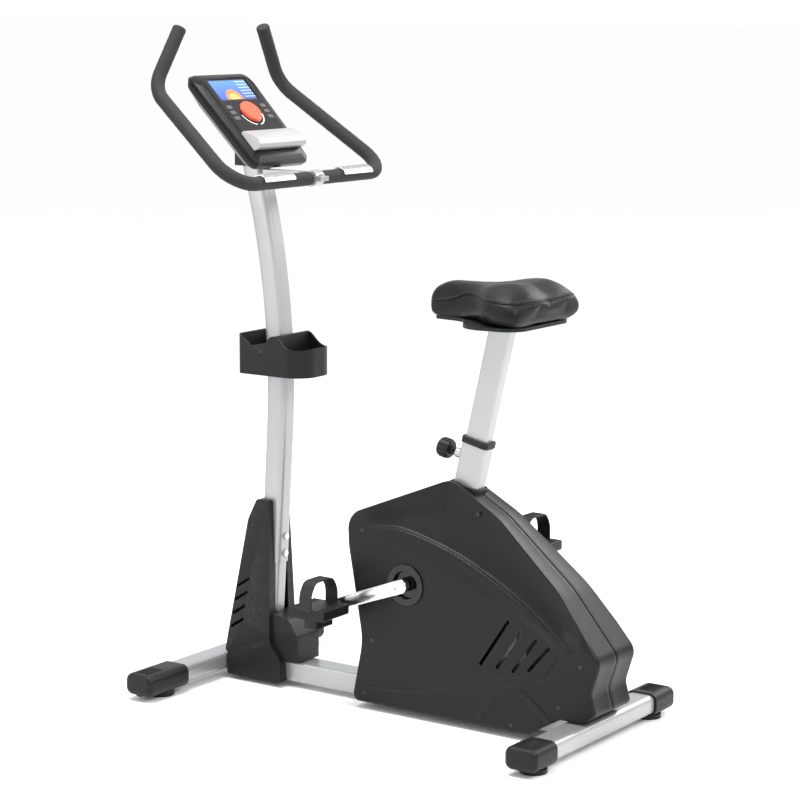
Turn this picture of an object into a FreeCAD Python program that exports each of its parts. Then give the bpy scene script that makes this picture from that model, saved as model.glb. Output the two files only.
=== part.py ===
import FreeCAD, Part
import math
import os

V = FreeCAD.Vector

# Exercise bike, self-powered upright type.
# +X is forward (the rider faces +X), +Y is the rider's left, +Z is up, z = 0 is the floor.
# The origin is the middle of the footprint. Millimetres.

# ---- driving dimensions -------------------------------------------------------------------
# Base
FRONT_STAB_X = 464.0        # centre of the front stabiliser tube
REAR_STAB_X = -448.0        # centre of the rear stabiliser tube
STAB_W, STAB_H, STAB_R = 60.0, 40.0, 13.0
STAB_Z0 = 15.0              # underside of the stabiliser tubes
STAB_WALL = 2.0
FRONT_HALF = 305.0          # half width over the front end caps
FRONT_CAP_L = 123.0         # how much of a tube each cap hides, and how far the tube goes in
REAR_HALF = 274.0           # half width over the rear end caps
REAR_CAP_L = 82.0
CAP_GRIP = 14.0             # length of tube inside a cap
CAP_WALL = 3.0
CAP_SIDE = 6.0              # a cap stands this far out beside the tube
CAP_GAP = 0.2               # clearance round a tube in its cap
CAP_ROUND = 12.0
BEAM_W, BEAM_H, BEAM_Z0, BEAM_WALL, BEAM_R = 56.0, 43.0, 12.0, 2.5, 4.0
BEAM_GAP = 0.3              # clearance of covers round the beam
FOOT_INSET, FOOT_R, FOOT_T = 52.0, 27.0, 9.0
STUD_R, STUD_TOP, FOOT_DROP = 5.0, 40.0, 8.0
ROLLER_R, ROLLER_W, ROLLER_INSET, ROLLER_Z = 21.0, 20.0, 33.0, 25.0
ROLLER_PIN_R, ROLLER_SLOT, ROLLER_PIN_GRIP = 4.0, 2.0, 8.0
PAD_INSET = 77.0

# Crank and pedals
HUB_X, HUB_Z = -50.0, 277.0  # crank axis
CRANK_LENGTH = 170.0
CRANK_DEG = -20.5           # left arm, from +X towards +Z
CRANK_CLEAR, CRANK_T = 9.0, 14.0     # casing to crank arm, and the arm's thickness
BOSS_R, EYE_R = 15.0, 12.5
ARM_SLIM = 0.92             # the arm's edges meet its bosses at this share of their radius
AXLE_R, AXLE_SINK = 8.5, 2.0
RUN_FIT = 0.05              # radial clearance of a running fit
PEDAL_REACH, PEDAL_W, PEDAL_L, PEDAL_H = 57.0, 86.0, 90.0, 22.0
PEDAL_END_WALL = 6.0
SPINDLE_R, SPINDLE_COLLAR, SPINDLE_COLLAR_R, SPINDLE_END = 6.0, 6.0, 9.0, 8.0
STRAP_W, STRAP_T, STRAP_RISE, STRAP_GAP = 30.0, 3.0, 66.0, 0.2
WEIGHT_DROP, WEIGHT_HALF = 22.0, 28.0        # counterweight below a pedal

# Seat
SEAT_PIVOT_Z = 560.0        # height of a point on the seat tube's axis
SEAT_HUB_GAP = 1.837        # from the crank's shell to the seat tube's front face
SEAT_LEAN_DEG = 13.2
POST_D, POST_W, POST_WALL, POST_R = 50.0, 28.0, 2.0, 5.0    # sliding seat post
POST_IN = 205.0             # seat post below the pivot at rest
SLIDE_GAP = 0.3             # clearance of sliding parts
BUSH_WALL = 1.5             # room for the bush and its clearances
BUSH_LIP, BUSH_DEEP, BUSH_RIM = 12.0, 60.0, 2.5
SEAT_TUBE_WALL, SEAT_TUBE_R = 2.5, 7.0
SEAT_TUBE_TOP = 8.0         # the tube's end, along the axis from the pivot
HOLE_PITCH, HOLE_R, HOLE_COUNT, HOLES_ABOVE = 25.0, 5.0, 8, 2
PIN_DROP = 24.0             # locking pin, below the pivot along the axis
PIN_R, PIN_BOSS_L, PIN_BOSS_WALL = 4.0, 16.0, 6.0
KNOB_R, KNOB_L, KNOB_OUT, KNOB_NECK, KNOB_ROUND = 19.0, 26.0, 29.0, 8.0, 3.0
SADDLE_REAR, SADDLE_NOSE = -339.0, -64.0
SADDLE_Z0, SADDLE_Z1 = 822.0, 901.0
SADDLE_HALF, NOSE_HALF = 132.0, 27.0
NOSE_L, WAIST_WIDER, WIDE_L, REAR_NARROWER = 95.0, 10.0, 130.0, 14.0
SADDLE_BEND, SADDLE_CORNER = 60.0, 42.0
SADDLE_BULGE, SADDLE_SHOULDER, SADDLE_CROWN = 22.0, 24.0, 6.0
PAN_T, PAN_INSET, PAN_GAP = 7.0, 12.0, 0.4
PLATE_T, PLATE_REAR, PLATE_FRONT, PLATE_HALF = 5.0, 55.0, 45.0, 36.0

# Front post
POST_SETBACK = 144.0        # rearmost point of the post, behind the front stabiliser
POST_BOW_R = 1720.0         # radius of the post's bow
POST_BOW_Z = 640.0          # height of the rearmost point of its centre line
POST_STRAIGHT_Z = 540.0     # below this the post is straight
POST_FOOT_Z = 262.0
POST_TOP_Z = 1122.0
FPOST_D, FPOST_W, FPOST_R, FPOST_WALL = 50.0, 42.0, 12.0, 2.5
STUB_TOP_Z, STUB_SINK = 345.0, 20.0
POST_BOLT_Z, POST_BOLT_R, POST_BOLT_T, POST_BOLT_GAP = (318.0, 281.0), 7.0, 5.0, 0.6
HUGE = 1000.0               # longer than anything that it cuts

# Shroud round the post's foot: places along X are behind the front stabiliser
SHROUD_TOP_Z, SHROUD_LIP_Z, SHROUD_WALL = 398.0, 10.0, 2.5
SHROUD_HALF, SHROUD_TOP_HALF, SHROUD_EVEN_Z = 52.0, 33.0, 420.0
SHROUD_FRONT, SHROUD_REAR, SHROUD_BROW, SHROUD_TIP = 28.0, 174.0, 82.0, 104.0
HUMP_HALF, HUMP_REAR, HUMP_TOP, HUMP_L = 37.0, 214.0, 156.0, 80.0
BROW_Z, CHIN_Z, STEP_Z, STEP_BACK, TIP_BACK = 352.0, 96.0, 58.0, 6.0, 34.0
SHROUD_SLOT_Z, SHROUD_SLOT_X, SHROUD_SLOT_L = (211.0, 181.0, 151.0, 121.0), 90.0, 34.0
SLOT_DROP, SLOT_EDGE, SLOT_LEAN = 22.0, 7.0, 0.16
POST_ROOM = 1.0             # clearance of the shroud round the post

# Cup holder
CUP_REAR, CUP_FRONT, CUP_HALF = 100.0, 72.0, 59.0      # from the post's rearmost point
CUP_Z0, CUP_Z1, CUP_WALL = 668.0, 757.0, 3.0
CUP_REAR_R, CUP_FRONT_R = 46.0, 16.0
SLEEVE_REAR, SLEEVE_FRONT = 6.0, 8.0                   # the sleeve round the post
# The wavy top edge: distance ahead of the post's rearmost point, and depth below the top
CUP_DIP = [(-120, 15), (-88, 31), (-58, 27), (-28, 5), (-14, 9), (6, 41), (32, 29), (56, 12), (80, 5)]

# Handlebar: the upper bend and the tip are placed from the crossbar's axis
BAR_DROP, BAR_BEHIND = 43.0, 156.9           # below the post's top, behind its centre there
BAR_R, FOAM_R, TUBE_WALL, FOAM_FIT = 11.1, 14.4, 1.8, 0.1
BAR_LOW_Y = 265.0
BAR_UP = (250.0, 208.0, 182.0)
BAR_TIP = (239.0, 139.0, 300.0)
BAR_LOW_BEND, BAR_UP_BEND, TIP_T = 58.0, 66.0, 6.0
FOAM_GAP = 16.0             # half the bare length at the clamp
SENSOR_Y0, SENSOR_Y1, SENSOR_T, SENSOR_GAP, SENSOR_EDGE = 84.0, 184.0, 4.0, 0.3, 3.0
CLAMP_HALF, CLAMP_R, CLAMP_LUG, CLAMP_LUG_T = 14.0, 17.0, 27.0, 5.0
CLAMP_ARM_H, CLAMP_WELD = 26.0, 4.0
CLAMP_SCREW, SCREW_R, SCREW_HEAD_R, SCREW_HEAD_T, SPLIT = 21.0, 3.0, 5.0, 4.0, 0.6

# Console: u runs up its face, from its lower edge
CONSOLE_REACH, CONSOLE_DROP, CONSOLE_TILT = 72.9, 19.0, 45.5
CONSOLE_L, CONSOLE_TOP_HALF, CONSOLE_LOW_HALF = 250.0, 100.0, 94.0
CONSOLE_LOW_R, CONSOLE_TOP_R = 16.0, 22.0
CONSOLE_BACK, CONSOLE_FACE = 30.0, 15.0      # depth below and height above the seam
HOUSING_WALL, FACE_WALL = 2.5, 3.0
BACK_INSET, FACE_INSET = 26.0, 14.0
SOCKET_REAR, SOCKET_FRONT, SOCKET_SIDE, SOCKET_DEEP, SOCKET_UP = 8.0, 4.0, 6.0, 23.0, 28.0
SCREEN_U0, SCREEN_U1, SCREEN_HALF, SCREEN_GAP, SCREEN_SINK = 168.0, 226.0, 62.0, 0.2, 0.6
DIAL_U, DIAL_R, DIAL_H, DIAL_HOLE_R, DIAL_GAP, DIAL_ROUND = 132.0, 26.0, 7.0, 9.0, 0.6, 2.5
DIAL_SHAFT = 12.0
KEY_U = (148.0, 133.0, 118.0)
KEY_Y, KEY_L, KEY_W = 56.0, 17.0, 10.0
KEY_TRAVEL, KEY_GAP, KEY_PROUD, KEY_ROOT = 1.5, 0.4, 0.7, 3.0
REST_U0, REST_U1, REST_HALF, REST_WALL = 30.0, 78.0, 79.0, 2.2
REST_LIP, REST_TOP, REST_LEAN, REST_CREST, REST_FOOT = 20.0, 26.0, 8.0, 14.0, 8.0

# Casing
CASING_HALF = 73.0          # half width of the casing
CASING_WALL = 2.5
CASING_EDGE, CASING_INSET = 8.0, 6.0         # how far in the side's edge slopes, and by how much
CASING_TOP_HALF = 32.0      # half width at the collar: above a slanted line the sides lean in
CASING_PEAK_Z = 498.0
LEAN_FRONT_Z, LEAN_REAR_Z = 400.0, 195.0     # the slanted line, at the casing's front and rear
CASING_SCREW_R, CASING_SCREW_L, SCREW_PROUD = 4.0, 6.0, 0.5
HUB_COVER_R, COVER_HOLE_R, COVER_RIM_T = 42.5, 34.0, 3.5
COVER_RIM_W, COVER_SINK, COVER_WALL, COVER_GAP = 13.5, 8.0, 3.0, 0.2
COLLAR_DROP, COLLAR_T, COLLAR_W, COLLAR_R, COLLAR_GAP = 104.0, 28.0, 6.0, 13.0, 0.4
COLLAR_ROOM = 0.3
VENT_W, VENT_END_R = 7.0, 3.0
# Vents and screws: places from the flywheel's axis, or from the crank's
VENT_TOP = [(-14, 38), (-46, 24), (-78, 9), (-108, -2)]
VENT_LOW = [(53, -63), (14, -64), (-23, -66), (-59, -58)]
WHEEL_SIDE_SCREWS = [(-178, -30), (-130, -120), (-22, -174)]
CRANK_SIDE_SCREWS = [(108, 99), (-152, 159), (84, -128), (102, -241)]

# Drive
DRIVE_R, DRIVE_Y, PULLEY_W = 112.0, -37.0, 16.0
PULLEY_RIM, PULLEY_WEB, PULLEY_HUB_R, PULLEY_HUB_Y = 10.0, 5.0, 26.0, 2.0
WHEEL_R, WHEEL_W, WHEEL_Y0, RIM_T = 132.0, 34.0, -12.0, 32.0
WHEEL_CLEAR, WHEEL_TUBE_GAP = 15.0, 33.0     # over the beam, and behind the seat tube
WHEEL_AXLE_R, WHEEL_NUT_R, WHEEL_NUT_T, WHEEL_NUT_GAP = 8.0, 13.0, 7.0, 1.0
WEB_T, WHEEL_HUB_R, WHEEL_HUB_END = 7.0, 16.0, 24.0
SMALL_R = 22.0              # belt pulley of the flywheel
STATOR_GAP, STATOR_W, STATOR_Y, STATOR_PLATE_T = 8.0, 32.0, 10.0, 2.0
STATOR_PLATE_IN, STATOR_PLATE_SIDE = 20.0, 10.0
BELT_T, BELT_W, BELT_LIFT = 3.0, 13.0, 0.3
IDLER_R, IDLER_PIN_R, IDLER_GAP = 17.0, 4.0, 0.9
IDLER_ALONG = 0.52          # the idler's place along the lower belt run
IDLER_ARM_L, IDLER_ARM_T, IDLER_ARM_HALF, IDLER_EYE_R = 62.0, 5.0, 9.0, 11.0
IDLER_SIDE, IDLER_STUD_R, IDLER_STUD_GAP = 1.5, 5.0, 0.5
SHELL_R, SHELL_BORE_R, SHELL_Y0, SHELL_Y1, BEARING_W = 24.0, 18.0, -24.0, 40.0, 12.0
PLATE_IN, FRAME_PLATE_T = 18.0, 4.0
GUSSET_FRONT, GUSSET_REAR, GUSSET_LOW_FRONT, GUSSET_LOW_REAR = 20.0, 28.0, 70.0, 10.0
GUSSET_UP_FRONT, GUSSET_UP_REAR = 16.0, 30.0
FORK_LEFT_Y, FORK_RIGHT_Y = 28.0, -52.0
FORK_TOP_HALF, FORK_TOP_UP, FORK_TOP_R, FORK_FOOT_HALF, FORK_FOOT_Z = 18.0, 20.0, 16.0, 60.0, 20.0
FORK_SPACER_HALF = 50.0
BOARD_AHEAD, BOARD_UP = 64.0, 60.0           # controller board, from the crank axis
BOARD_L, BOARD_H, BOARD_T, BOARD_STAND, BOARD_POST_R, BOARD_POST_IN = 70.0, 48.0, 2.0, 6.0, 3.0, 5.0

# ---- places that follow from them ---------------------------------------------------------
BEAM_TOP = BEAM_Z0 + BEAM_H
FRONT_BARE_HALF = FRONT_HALF - FRONT_CAP_L
FRONT_TUBE_HALF = FRONT_BARE_HALF + CAP_GRIP
REAR_BARE_HALF = REAR_HALF - REAR_CAP_L
REAR_TUBE_HALF = REAR_BARE_HALF + CAP_GRIP
FOOT_Y = REAR_HALF - FOOT_INSET
PAD_Y = FRONT_HALF - PAD_INSET
ROLLER_Y = FRONT_HALF - ROLLER_INSET
ROLLER_X = FRONT_STAB_X + STAB_W / 2 + CAP_SIDE - ROLLER_R

CRANK_IN = CASING_HALF + CRANK_CLEAR         # inner and outer faces of a crank arm
CRANK_OUT = CRANK_IN + CRANK_T
PEDAL_Y = CRANK_OUT + PEDAL_REACH
AXLE_HALF = CRANK_OUT - AXLE_SINK

SEAT_TUBE_D = POST_D + 2 * (SEAT_TUBE_WALL + BUSH_WALL)
SEAT_TUBE_W = POST_W + 2 * (SEAT_TUBE_WALL + BUSH_WALL)
SEAT_LEAN = math.radians(SEAT_LEAN_DEG)
SEAT_PIVOT_X = (HUB_X - SHELL_R - SEAT_HUB_GAP - SEAT_TUBE_D / 2 / math.cos(SEAT_LEAN)
                - (SEAT_PIVOT_Z - HUB_Z) * math.tan(SEAT_LEAN))
WHEEL_Z = BEAM_TOP + WHEEL_CLEAR + WHEEL_R
WHEEL_X = (SEAT_PIVOT_X + (SEAT_PIVOT_Z - WHEEL_Z) * math.tan(SEAT_LEAN)
           - SEAT_TUBE_D / 2 - WHEEL_TUBE_GAP - WHEEL_R)
# The casing's outline: x, z and corner radius. Its rear follows the flywheel and the rear
# stabiliser, its front the crank and its peak the seat tube.
CASING_TOP_X = SEAT_PIVOT_X + (SEAT_PIVOT_Z - CASING_PEAK_Z) * math.tan(SEAT_LEAN)
CASING_FRONT_X = HUB_X + 148
CASING_REAR_X = min(WHEEL_X - WHEEL_R - 89, REAR_STAB_X - 55)
STAB_TOP = STAB_Z0 + STAB_H
CASING_LIFT = 2.0           # clearance over the rear stabiliser
CASING_LOW_Z = BEAM_Z0 + 2
CASING = [
    (CASING_FRONT_X - 12, CASING_LOW_Z, 14), (HUB_X + 110, HUB_Z - 132, 150),
    (HUB_X + 145, HUB_Z + 63, 90), (CASING_FRONT_X, HUB_Z + 127, 44),
    (CASING_TOP_X + 25, CASING_PEAK_Z, 45), (WHEEL_X + 32, WHEEL_Z + WHEEL_R + 98, 200),
    (WHEEL_X - 118, WHEEL_Z + WHEEL_R - 28, 250), (CASING_REAR_X, WHEEL_Z - 18, 30),
    (CASING_REAR_X + 21, WHEEL_Z - 84, 30), (REAR_STAB_X - 46, STAB_TOP + 21, 10),
    (REAR_STAB_X - 14, STAB_TOP + CASING_LIFT, 3), (REAR_STAB_X + 36, STAB_TOP + CASING_LIFT, 3),
    (min(REAR_STAB_X + 110, WHEEL_X - 56), CASING_LOW_Z, 12)]
CASING_SCREWS = ([(HUB_X + x, HUB_Z + z) for x, z in CRANK_SIDE_SCREWS]
                 + [(WHEEL_X + x, WHEEL_Z + z) for x, z in WHEEL_SIDE_SCREWS])
PARTS = {}


# ---- helpers ------------------------------------------------------------------------------
def block(x0, x1, y0, y1, z0, z1):
    return Part.makeBox(x1 - x0, y1 - y0, z1 - z0, V(x0, y0, z0))


def rod(start, axis, radius, length):
    return Part.makeCylinder(radius, length, V(*start), V(*axis))


def ring(start, axis, outer, inner, length):
    return rod(start, axis, outer, length).cut(rod(start, axis, inner, length))


def bent_wire(corners, closed):
    """Lines joined by tangent arcs; each corner is (point, radius), radius 0 for a sharp one."""
    count = len(corners)
    entries = []
    for i, (point, radius) in enumerate(corners):
        is_end = not closed and i in (0, count - 1)
        if radius <= 0 or is_end:
            entries.append((point, None, point))
            continue
        back = (corners[i - 1][0] - point).normalize()
        ahead = (corners[(i + 1) % count][0] - point).normalize()
        half = back.getAngle(ahead) / 2
        reach = radius / math.tan(half)
        middle = (back + ahead).normalize()
        bulge = point + middle * (radius / math.sin(half) - radius)
        entries.append((point + back * reach, bulge, point + ahead * reach))
    edges = []
    for i, (start, bulge, end) in enumerate(entries):
        if bulge is not None:
            edges.append(Part.Arc(start, bulge, end).toShape())
        if closed or i < count - 1:
            following = entries[(i + 1) % count][0]
            if (following - end).Length > 1e-4:
                edges.append(Part.LineSegment(end, following).toShape())
    return Part.Wire(edges)


def outline_xz(points, y):
    return bent_wire([(V(x, y, z), r) for x, z, r in points], True)


def outline_xy(points, z):
    return bent_wire([(V(x, y, z), r) for x, y, r in points], True)


def prism(wire, vector):
    return Part.Face(wire).extrude(V(*vector))


def rect_wire(width, depth, radius, z):
    """A rounded rectangle about the Z axis: width along X, depth along Y."""
    a, b = width / 2, depth / 2
    return outline_xy([(-a, -b, radius), (a, -b, radius), (a, b, radius), (-a, b, radius)], z)


def rect_tube(width, depth, radius, wall, z0, z1):
    outer = prism(rect_wire(width, depth, radius, z0), (0, 0, z1 - z0))
    if wall <= 0:
        return outer
    inner_radius = max(radius - wall, 0.5)
    inner = prism(rect_wire(width - 2 * wall, depth - 2 * wall, inner_radius, z0), (0, 0, z1 - z0))
    return outer.cut(inner)


def lay_along(shape, turn_axis, degrees):
    turned = shape.copy()
    turned.rotate(V(0, 0, 0), V(*turn_axis), degrees)
    return turned


def moved(shape, x, y, z):
    placed = shape.copy()
    placed.translate(V(x, y, z))
    return placed


def other_side(shape):
    return shape.mirror(V(0, 0, 0), V(0, 1, 0))


def both_sides(shape):
    return Part.makeCompound([shape, other_side(shape)])


def largest_solid(shape):
    return max(shape.Solids, key=lambda s: s.Volume)


def slab(points, y0, y1):
    """A plate between y0 and y1 whose outline has (x, z, corner radius) points."""
    return prism(outline_xz(points, y0), (0, y1 - y0, 0))


def keep(name, shape):
    PARTS[name] = shape


# ---- frame --------------------------------------------------------------------------------
def stabiliser(x, half):
    tube = rect_tube(STAB_W, STAB_H, STAB_R, STAB_WALL, -half, half)
    lying = lay_along(tube, (1, 0, 0), 90)
    return moved(lying, x, 0, STAB_Z0 + STAB_H / 2)


def main_beam():
    x0 = REAR_STAB_X + STAB_W / 2
    x1 = FRONT_STAB_X - STAB_W / 2
    tube = rect_tube(BEAM_H, BEAM_W, BEAM_R, BEAM_WALL, x0, x1)
    return moved(lay_along(tube, (0, 1, 0), 90), 0, 0, BEAM_Z0 + BEAM_H / 2)


def cap_blank(x, bare, half):
    """A moulded cup over a tube's end, on the left, with rounded outer edges."""
    width, height = STAB_W + 2 * CAP_SIDE, STAB_H + 2 * CAP_WALL
    body = rect_tube(width, height, STAB_R + CAP_WALL, 0, bare, half)
    end_edges = [e for e in body.Edges if all(abs(v.Z - half) < 0.01 for v in e.Vertexes)]
    body = body.makeFillet(CAP_ROUND, end_edges)
    return moved(lay_along(body, (1, 0, 0), -90), x, 0, STAB_Z0 + STAB_H / 2)


def cap_bore(x, tube_half):
    gap = CAP_GAP * 2
    bore = rect_tube(STAB_W + gap, STAB_H + gap, STAB_R + CAP_GAP, 0, 0, tube_half)
    return moved(lay_along(bore, (1, 0, 0), -90), x, 0, STAB_Z0 + STAB_H / 2)


def rear_caps():
    cap = cap_blank(REAR_STAB_X, REAR_BARE_HALF, REAR_HALF)
    cap = cap.cut(cap_bore(REAR_STAB_X, REAR_TUBE_HALF))
    stud_hole = rod((REAR_STAB_X, FOOT_Y, 0), (0, 0, 1), STUD_R + SLIDE_GAP, STUD_TOP + FOOT_DROP)
    return both_sides(cap.cut(stud_hole))


def front_caps():
    cap = cap_blank(FRONT_STAB_X, FRONT_BARE_HALF, FRONT_HALF)
    pad = rod((FRONT_STAB_X, PAD_Y, 0), (0, 0, 1), FOOT_R, STAB_Z0)
    cap = cap.fuse(pad).cut(cap_bore(FRONT_STAB_X, FRONT_TUBE_HALF))
    slot_half = ROLLER_W / 2 + ROLLER_SLOT
    slot_r = ROLLER_R + ROLLER_SLOT
    slot = rod((ROLLER_X, ROLLER_Y - slot_half, ROLLER_Z), (0, 1, 0), slot_r, 2 * slot_half)
    below = block(ROLLER_X - slot_r, ROLLER_X + slot_r + CAP_WALL,
                  ROLLER_Y - slot_half, ROLLER_Y + slot_half, -STAB_Z0, ROLLER_Z)
    cap = cap.cut(slot).cut(below)
    return both_sides(cap.cut(roller_pin()))


def roller_pin():
    length = ROLLER_W + 2 * (ROLLER_SLOT + ROLLER_PIN_GRIP)
    return rod((ROLLER_X, ROLLER_Y - length / 2, ROLLER_Z), (0, 1, 0), ROLLER_PIN_R, length)


def roller():
    start = (ROLLER_X, ROLLER_Y - ROLLER_W / 2, ROLLER_Z)
    return ring(start, (0, 1, 0), ROLLER_R, ROLLER_PIN_R + RUN_FIT, ROLLER_W)


def level_foot():
    pad = rod((REAR_STAB_X, FOOT_Y, 0), (0, 0, 1), FOOT_R, FOOT_T)
    return pad.fuse(rod((REAR_STAB_X, FOOT_Y, 0), (0, 0, 1), STUD_R, STUD_TOP))


# ---- front post ---------------------------------------------------------------------------
POST_BOW_X = FRONT_STAB_X - POST_SETBACK


def post_x(z):
    """Centre line of the front post: a shallow bow above a straight foot."""
    if z >= POST_STRAIGHT_Z:
        rise = z - POST_BOW_Z
        return POST_BOW_X + POST_BOW_R - math.sqrt(POST_BOW_R ** 2 - rise ** 2)
    drop = POST_BOW_Z - POST_STRAIGHT_Z
    slope = drop / math.sqrt(POST_BOW_R ** 2 - drop ** 2)
    return post_x(POST_STRAIGHT_Z) + slope * (POST_STRAIGHT_Z - z)


def post_point(z):
    return V(post_x(z), 0, z)


def post_sweep(width, depth, radius, z0, z1):
    foot = post_point(z0)
    bend = post_point(POST_STRAIGHT_Z)
    mid_z = (POST_STRAIGHT_Z + z1) / 2
    straight = Part.LineSegment(foot, bend).toShape()
    bow = Part.Arc(bend, post_point(mid_z), post_point(z1)).toShape()
    lean = math.degrees(math.atan2(bend.x - foot.x, bend.z - foot.z))
    section = rect_wire(width, depth, radius, 0)
    section = moved(lay_along(section, (0, 1, 0), lean), foot.x, 0, foot.z)
    return Part.Wire([straight, bow]).makePipeShell([section], True, False)


def upper_post():
    outer = post_sweep(FPOST_D, FPOST_W, FPOST_R, POST_FOOT_Z, POST_TOP_Z)
    inner = post_sweep(FPOST_D - 2 * FPOST_WALL, FPOST_W - 2 * FPOST_WALL,
                       FPOST_R - FPOST_WALL, POST_FOOT_Z, POST_TOP_Z)
    return outer.cut(inner)


def stub_solid(extra):
    gap = 2 * (FPOST_WALL + CAP_GAP) - 2 * extra
    foot, top = post_point(BEAM_TOP - STUB_SINK), post_point(STUB_TOP_Z)
    lean = math.degrees(math.atan2(top.x - foot.x, top.z - foot.z))
    length = (top - foot).Length
    stub = rect_tube(FPOST_D - gap, FPOST_W - gap, FPOST_R - FPOST_WALL, 0, 0, length)
    return moved(lay_along(stub, (0, 1, 0), lean), foot.x, 0, foot.z)


def post_stub():
    solid = stub_solid(0)
    hollow = stub_solid(-FPOST_WALL)
    below = block(POST_BOW_X - FPOST_D, FRONT_STAB_X + FPOST_D, -FPOST_W, FPOST_W, 0, BEAM_TOP)
    return solid.cut(hollow).cut(below)


def shroud_half():
    """The left half of the cover round the post's foot: a hollow wedge and a low rear hump."""
    front, rear = FRONT_STAB_X - SHROUD_FRONT, FRONT_STAB_X - SHROUD_REAR
    brow, tip = FRONT_STAB_X - SHROUD_BROW, FRONT_STAB_X - SHROUD_TIP
    step = front - STEP_BACK
    face = [(tip - TIP_BACK, SHROUD_TOP_Z, 4), (tip, SHROUD_TOP_Z, 10), (brow, BROW_Z, 40),
            (step, CHIN_Z, 60), (front, STEP_Z + 2, 6), (step, STEP_Z, 2), (step, SHROUD_LIP_Z, 6),
            (rear - 4, SHROUD_LIP_Z, 6), (rear, STEP_Z + 2, 10), (rear + 28, CHIN_Z - 4, 30)]
    wide = outline_xz(face, 0)
    even = [V(0, SHROUD_HALF, 0), V(0, 2 * SHROUD_HALF, 0), V(0, 2 * SHROUD_HALF, SHROUD_EVEN_Z),
            V(0, SHROUD_TOP_HALF, SHROUD_EVEN_Z)]
    slope = prism(bent_wire([(point, 0) for point in even], True), (HUGE, 0, 0))
    outer = prism(wide, (0, SHROUD_HALF, 0)).cut(slope)
    hump_rear = FRONT_STAB_X - HUMP_REAR
    hump_front, hump_foot = hump_rear + HUMP_L, BEAM_TOP + BEAM_GAP
    hump_face = [(hump_rear, hump_foot, 4), (hump_rear, HUMP_TOP - 44, 22),
                 (hump_rear + 26, HUMP_TOP - 6, 20), (hump_front, HUMP_TOP, 4),
                 (hump_front, hump_foot, 0)]
    hump_wire = outline_xz(hump_face, 0)
    hump = prism(hump_wire, (0, HUMP_HALF, 0))
    inner_wedge = prism(wide.makeOffset2D(-SHROUD_WALL), (0, SHROUD_HALF - SHROUD_WALL, 0))
    hollow = inner_wedge.cut(moved(slope, 0, -SHROUD_WALL, 0))
    hump_hollow = prism(hump_wire.makeOffset2D(-SHROUD_WALL), (0, HUMP_HALF - SHROUD_WALL, 0))
    shell = outer.fuse(hump).cut(hollow).cut(hump_hollow)
    room = 2 * POST_ROOM
    post_room = post_sweep(FPOST_D + room, FPOST_W + room, FPOST_R, STEP_Z, POST_TOP_Z)
    rear_gap = block(POST_BOW_X - FPOST_D, post_x(POST_FOOT_Z) + STEP_BACK, 0,
                     FPOST_W / 2 + POST_ROOM, HUMP_TOP + 1, SHROUD_EVEN_Z)
    beam_room = block(-HUGE, HUGE, -1, BEAM_W / 2 + CAP_GAP, 0, hump_foot)
    shell = shell.cut(post_room).cut(stub_solid(POST_ROOM)).cut(rear_gap).cut(beam_room)
    return shell.cut(shroud_slots())


def shroud_slots():
    """Four slanted louvre slots through the shroud's side wall."""
    cuts = []
    for z in SHROUD_SLOT_Z:
        x0 = FRONT_STAB_X - SHROUD_SLOT_X + (SHROUD_SLOT_Z[0] - z) * SLOT_LEAN
        x1 = x0 + SHROUD_SLOT_L
        high, low = z + SLOT_DROP / 2, z - SLOT_DROP / 2
        slot = [(x0, high + SLOT_EDGE, 2), (x0, high, 2), (x1, low, 2), (x1, low + SLOT_EDGE, 2)]
        cuts.append(slab(slot, SHROUD_TOP_HALF - SHROUD_WALL, SHROUD_HALF + 1))
    return Part.makeCompound(cuts)


# ---- cup holder ---------------------------------------------------------------------------


def cup_outline(inset, z):
    a, b, h = POST_BOW_X - CUP_REAR + inset, POST_BOW_X + CUP_FRONT - inset, CUP_HALF - inset
    rear, front = CUP_REAR_R - inset, CUP_FRONT_R - inset
    return outline_xy([(a, -h, rear), (b, -h, front), (b, h, front), (a, h, rear)], z)


def cup_holder():
    outer = prism(cup_outline(0, CUP_Z0), (0, 0, CUP_Z1 - CUP_Z0))
    hollow = prism(cup_outline(CUP_WALL, CUP_Z0 + CUP_WALL), (0, 0, CUP_Z1))
    sleeve = block(POST_BOW_X - FPOST_D / 2 - SLEEVE_REAR, POST_BOW_X + FPOST_D / 2 + SLEEVE_FRONT,
                   1 - CUP_HALF, CUP_HALF - 1, CUP_Z0, CUP_Z1)
    body = outer.cut(hollow).fuse(sleeve.common(outer))
    side = -CUP_HALF - CUP_WALL
    points = [V(POST_BOW_X + ahead, side, CUP_Z1 - dip) for ahead, dip in CUP_DIP]
    spline = Part.BSplineCurve()
    spline.interpolate(points)
    top = CUP_Z1 + CUP_WALL
    corners = [points[0], V(points[0].x, side, top), V(points[-1].x, side, top), points[-1]]
    edges = [Part.LineSegment(a, b).toShape() for a, b in zip(corners, corners[1:])]
    loop = Part.Wire(Part.__sortEdges__([spline.toShape()] + edges))
    body = body.cut(prism(loop, (0, -2 * side, 0)))
    post_room = post_sweep(FPOST_D + 2 * CAP_GAP, FPOST_W + 2 * CAP_GAP, FPOST_R,
                           POST_FOOT_Z, POST_TOP_Z)
    return largest_solid(body.cut(post_room))


# ---- handlebar ----------------------------------------------------------------------------
BAR_Z = POST_TOP_Z - BAR_DROP
BAR_X = post_x(POST_TOP_Z) - BAR_BEHIND
BAR_AXIS = V(BAR_X, 0, BAR_Z)


def bar_path(y_end):
    """The left arm's centre line from the crossbar at y_end to the tip."""
    corners = [(V(BAR_X, y_end, BAR_Z), 0), (V(BAR_X, BAR_LOW_Y, BAR_Z), BAR_LOW_BEND),
               (BAR_AXIS + V(*BAR_UP), BAR_UP_BEND), (BAR_AXIS + V(*BAR_TIP), 0)]
    return bent_wire(corners, False)


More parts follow.
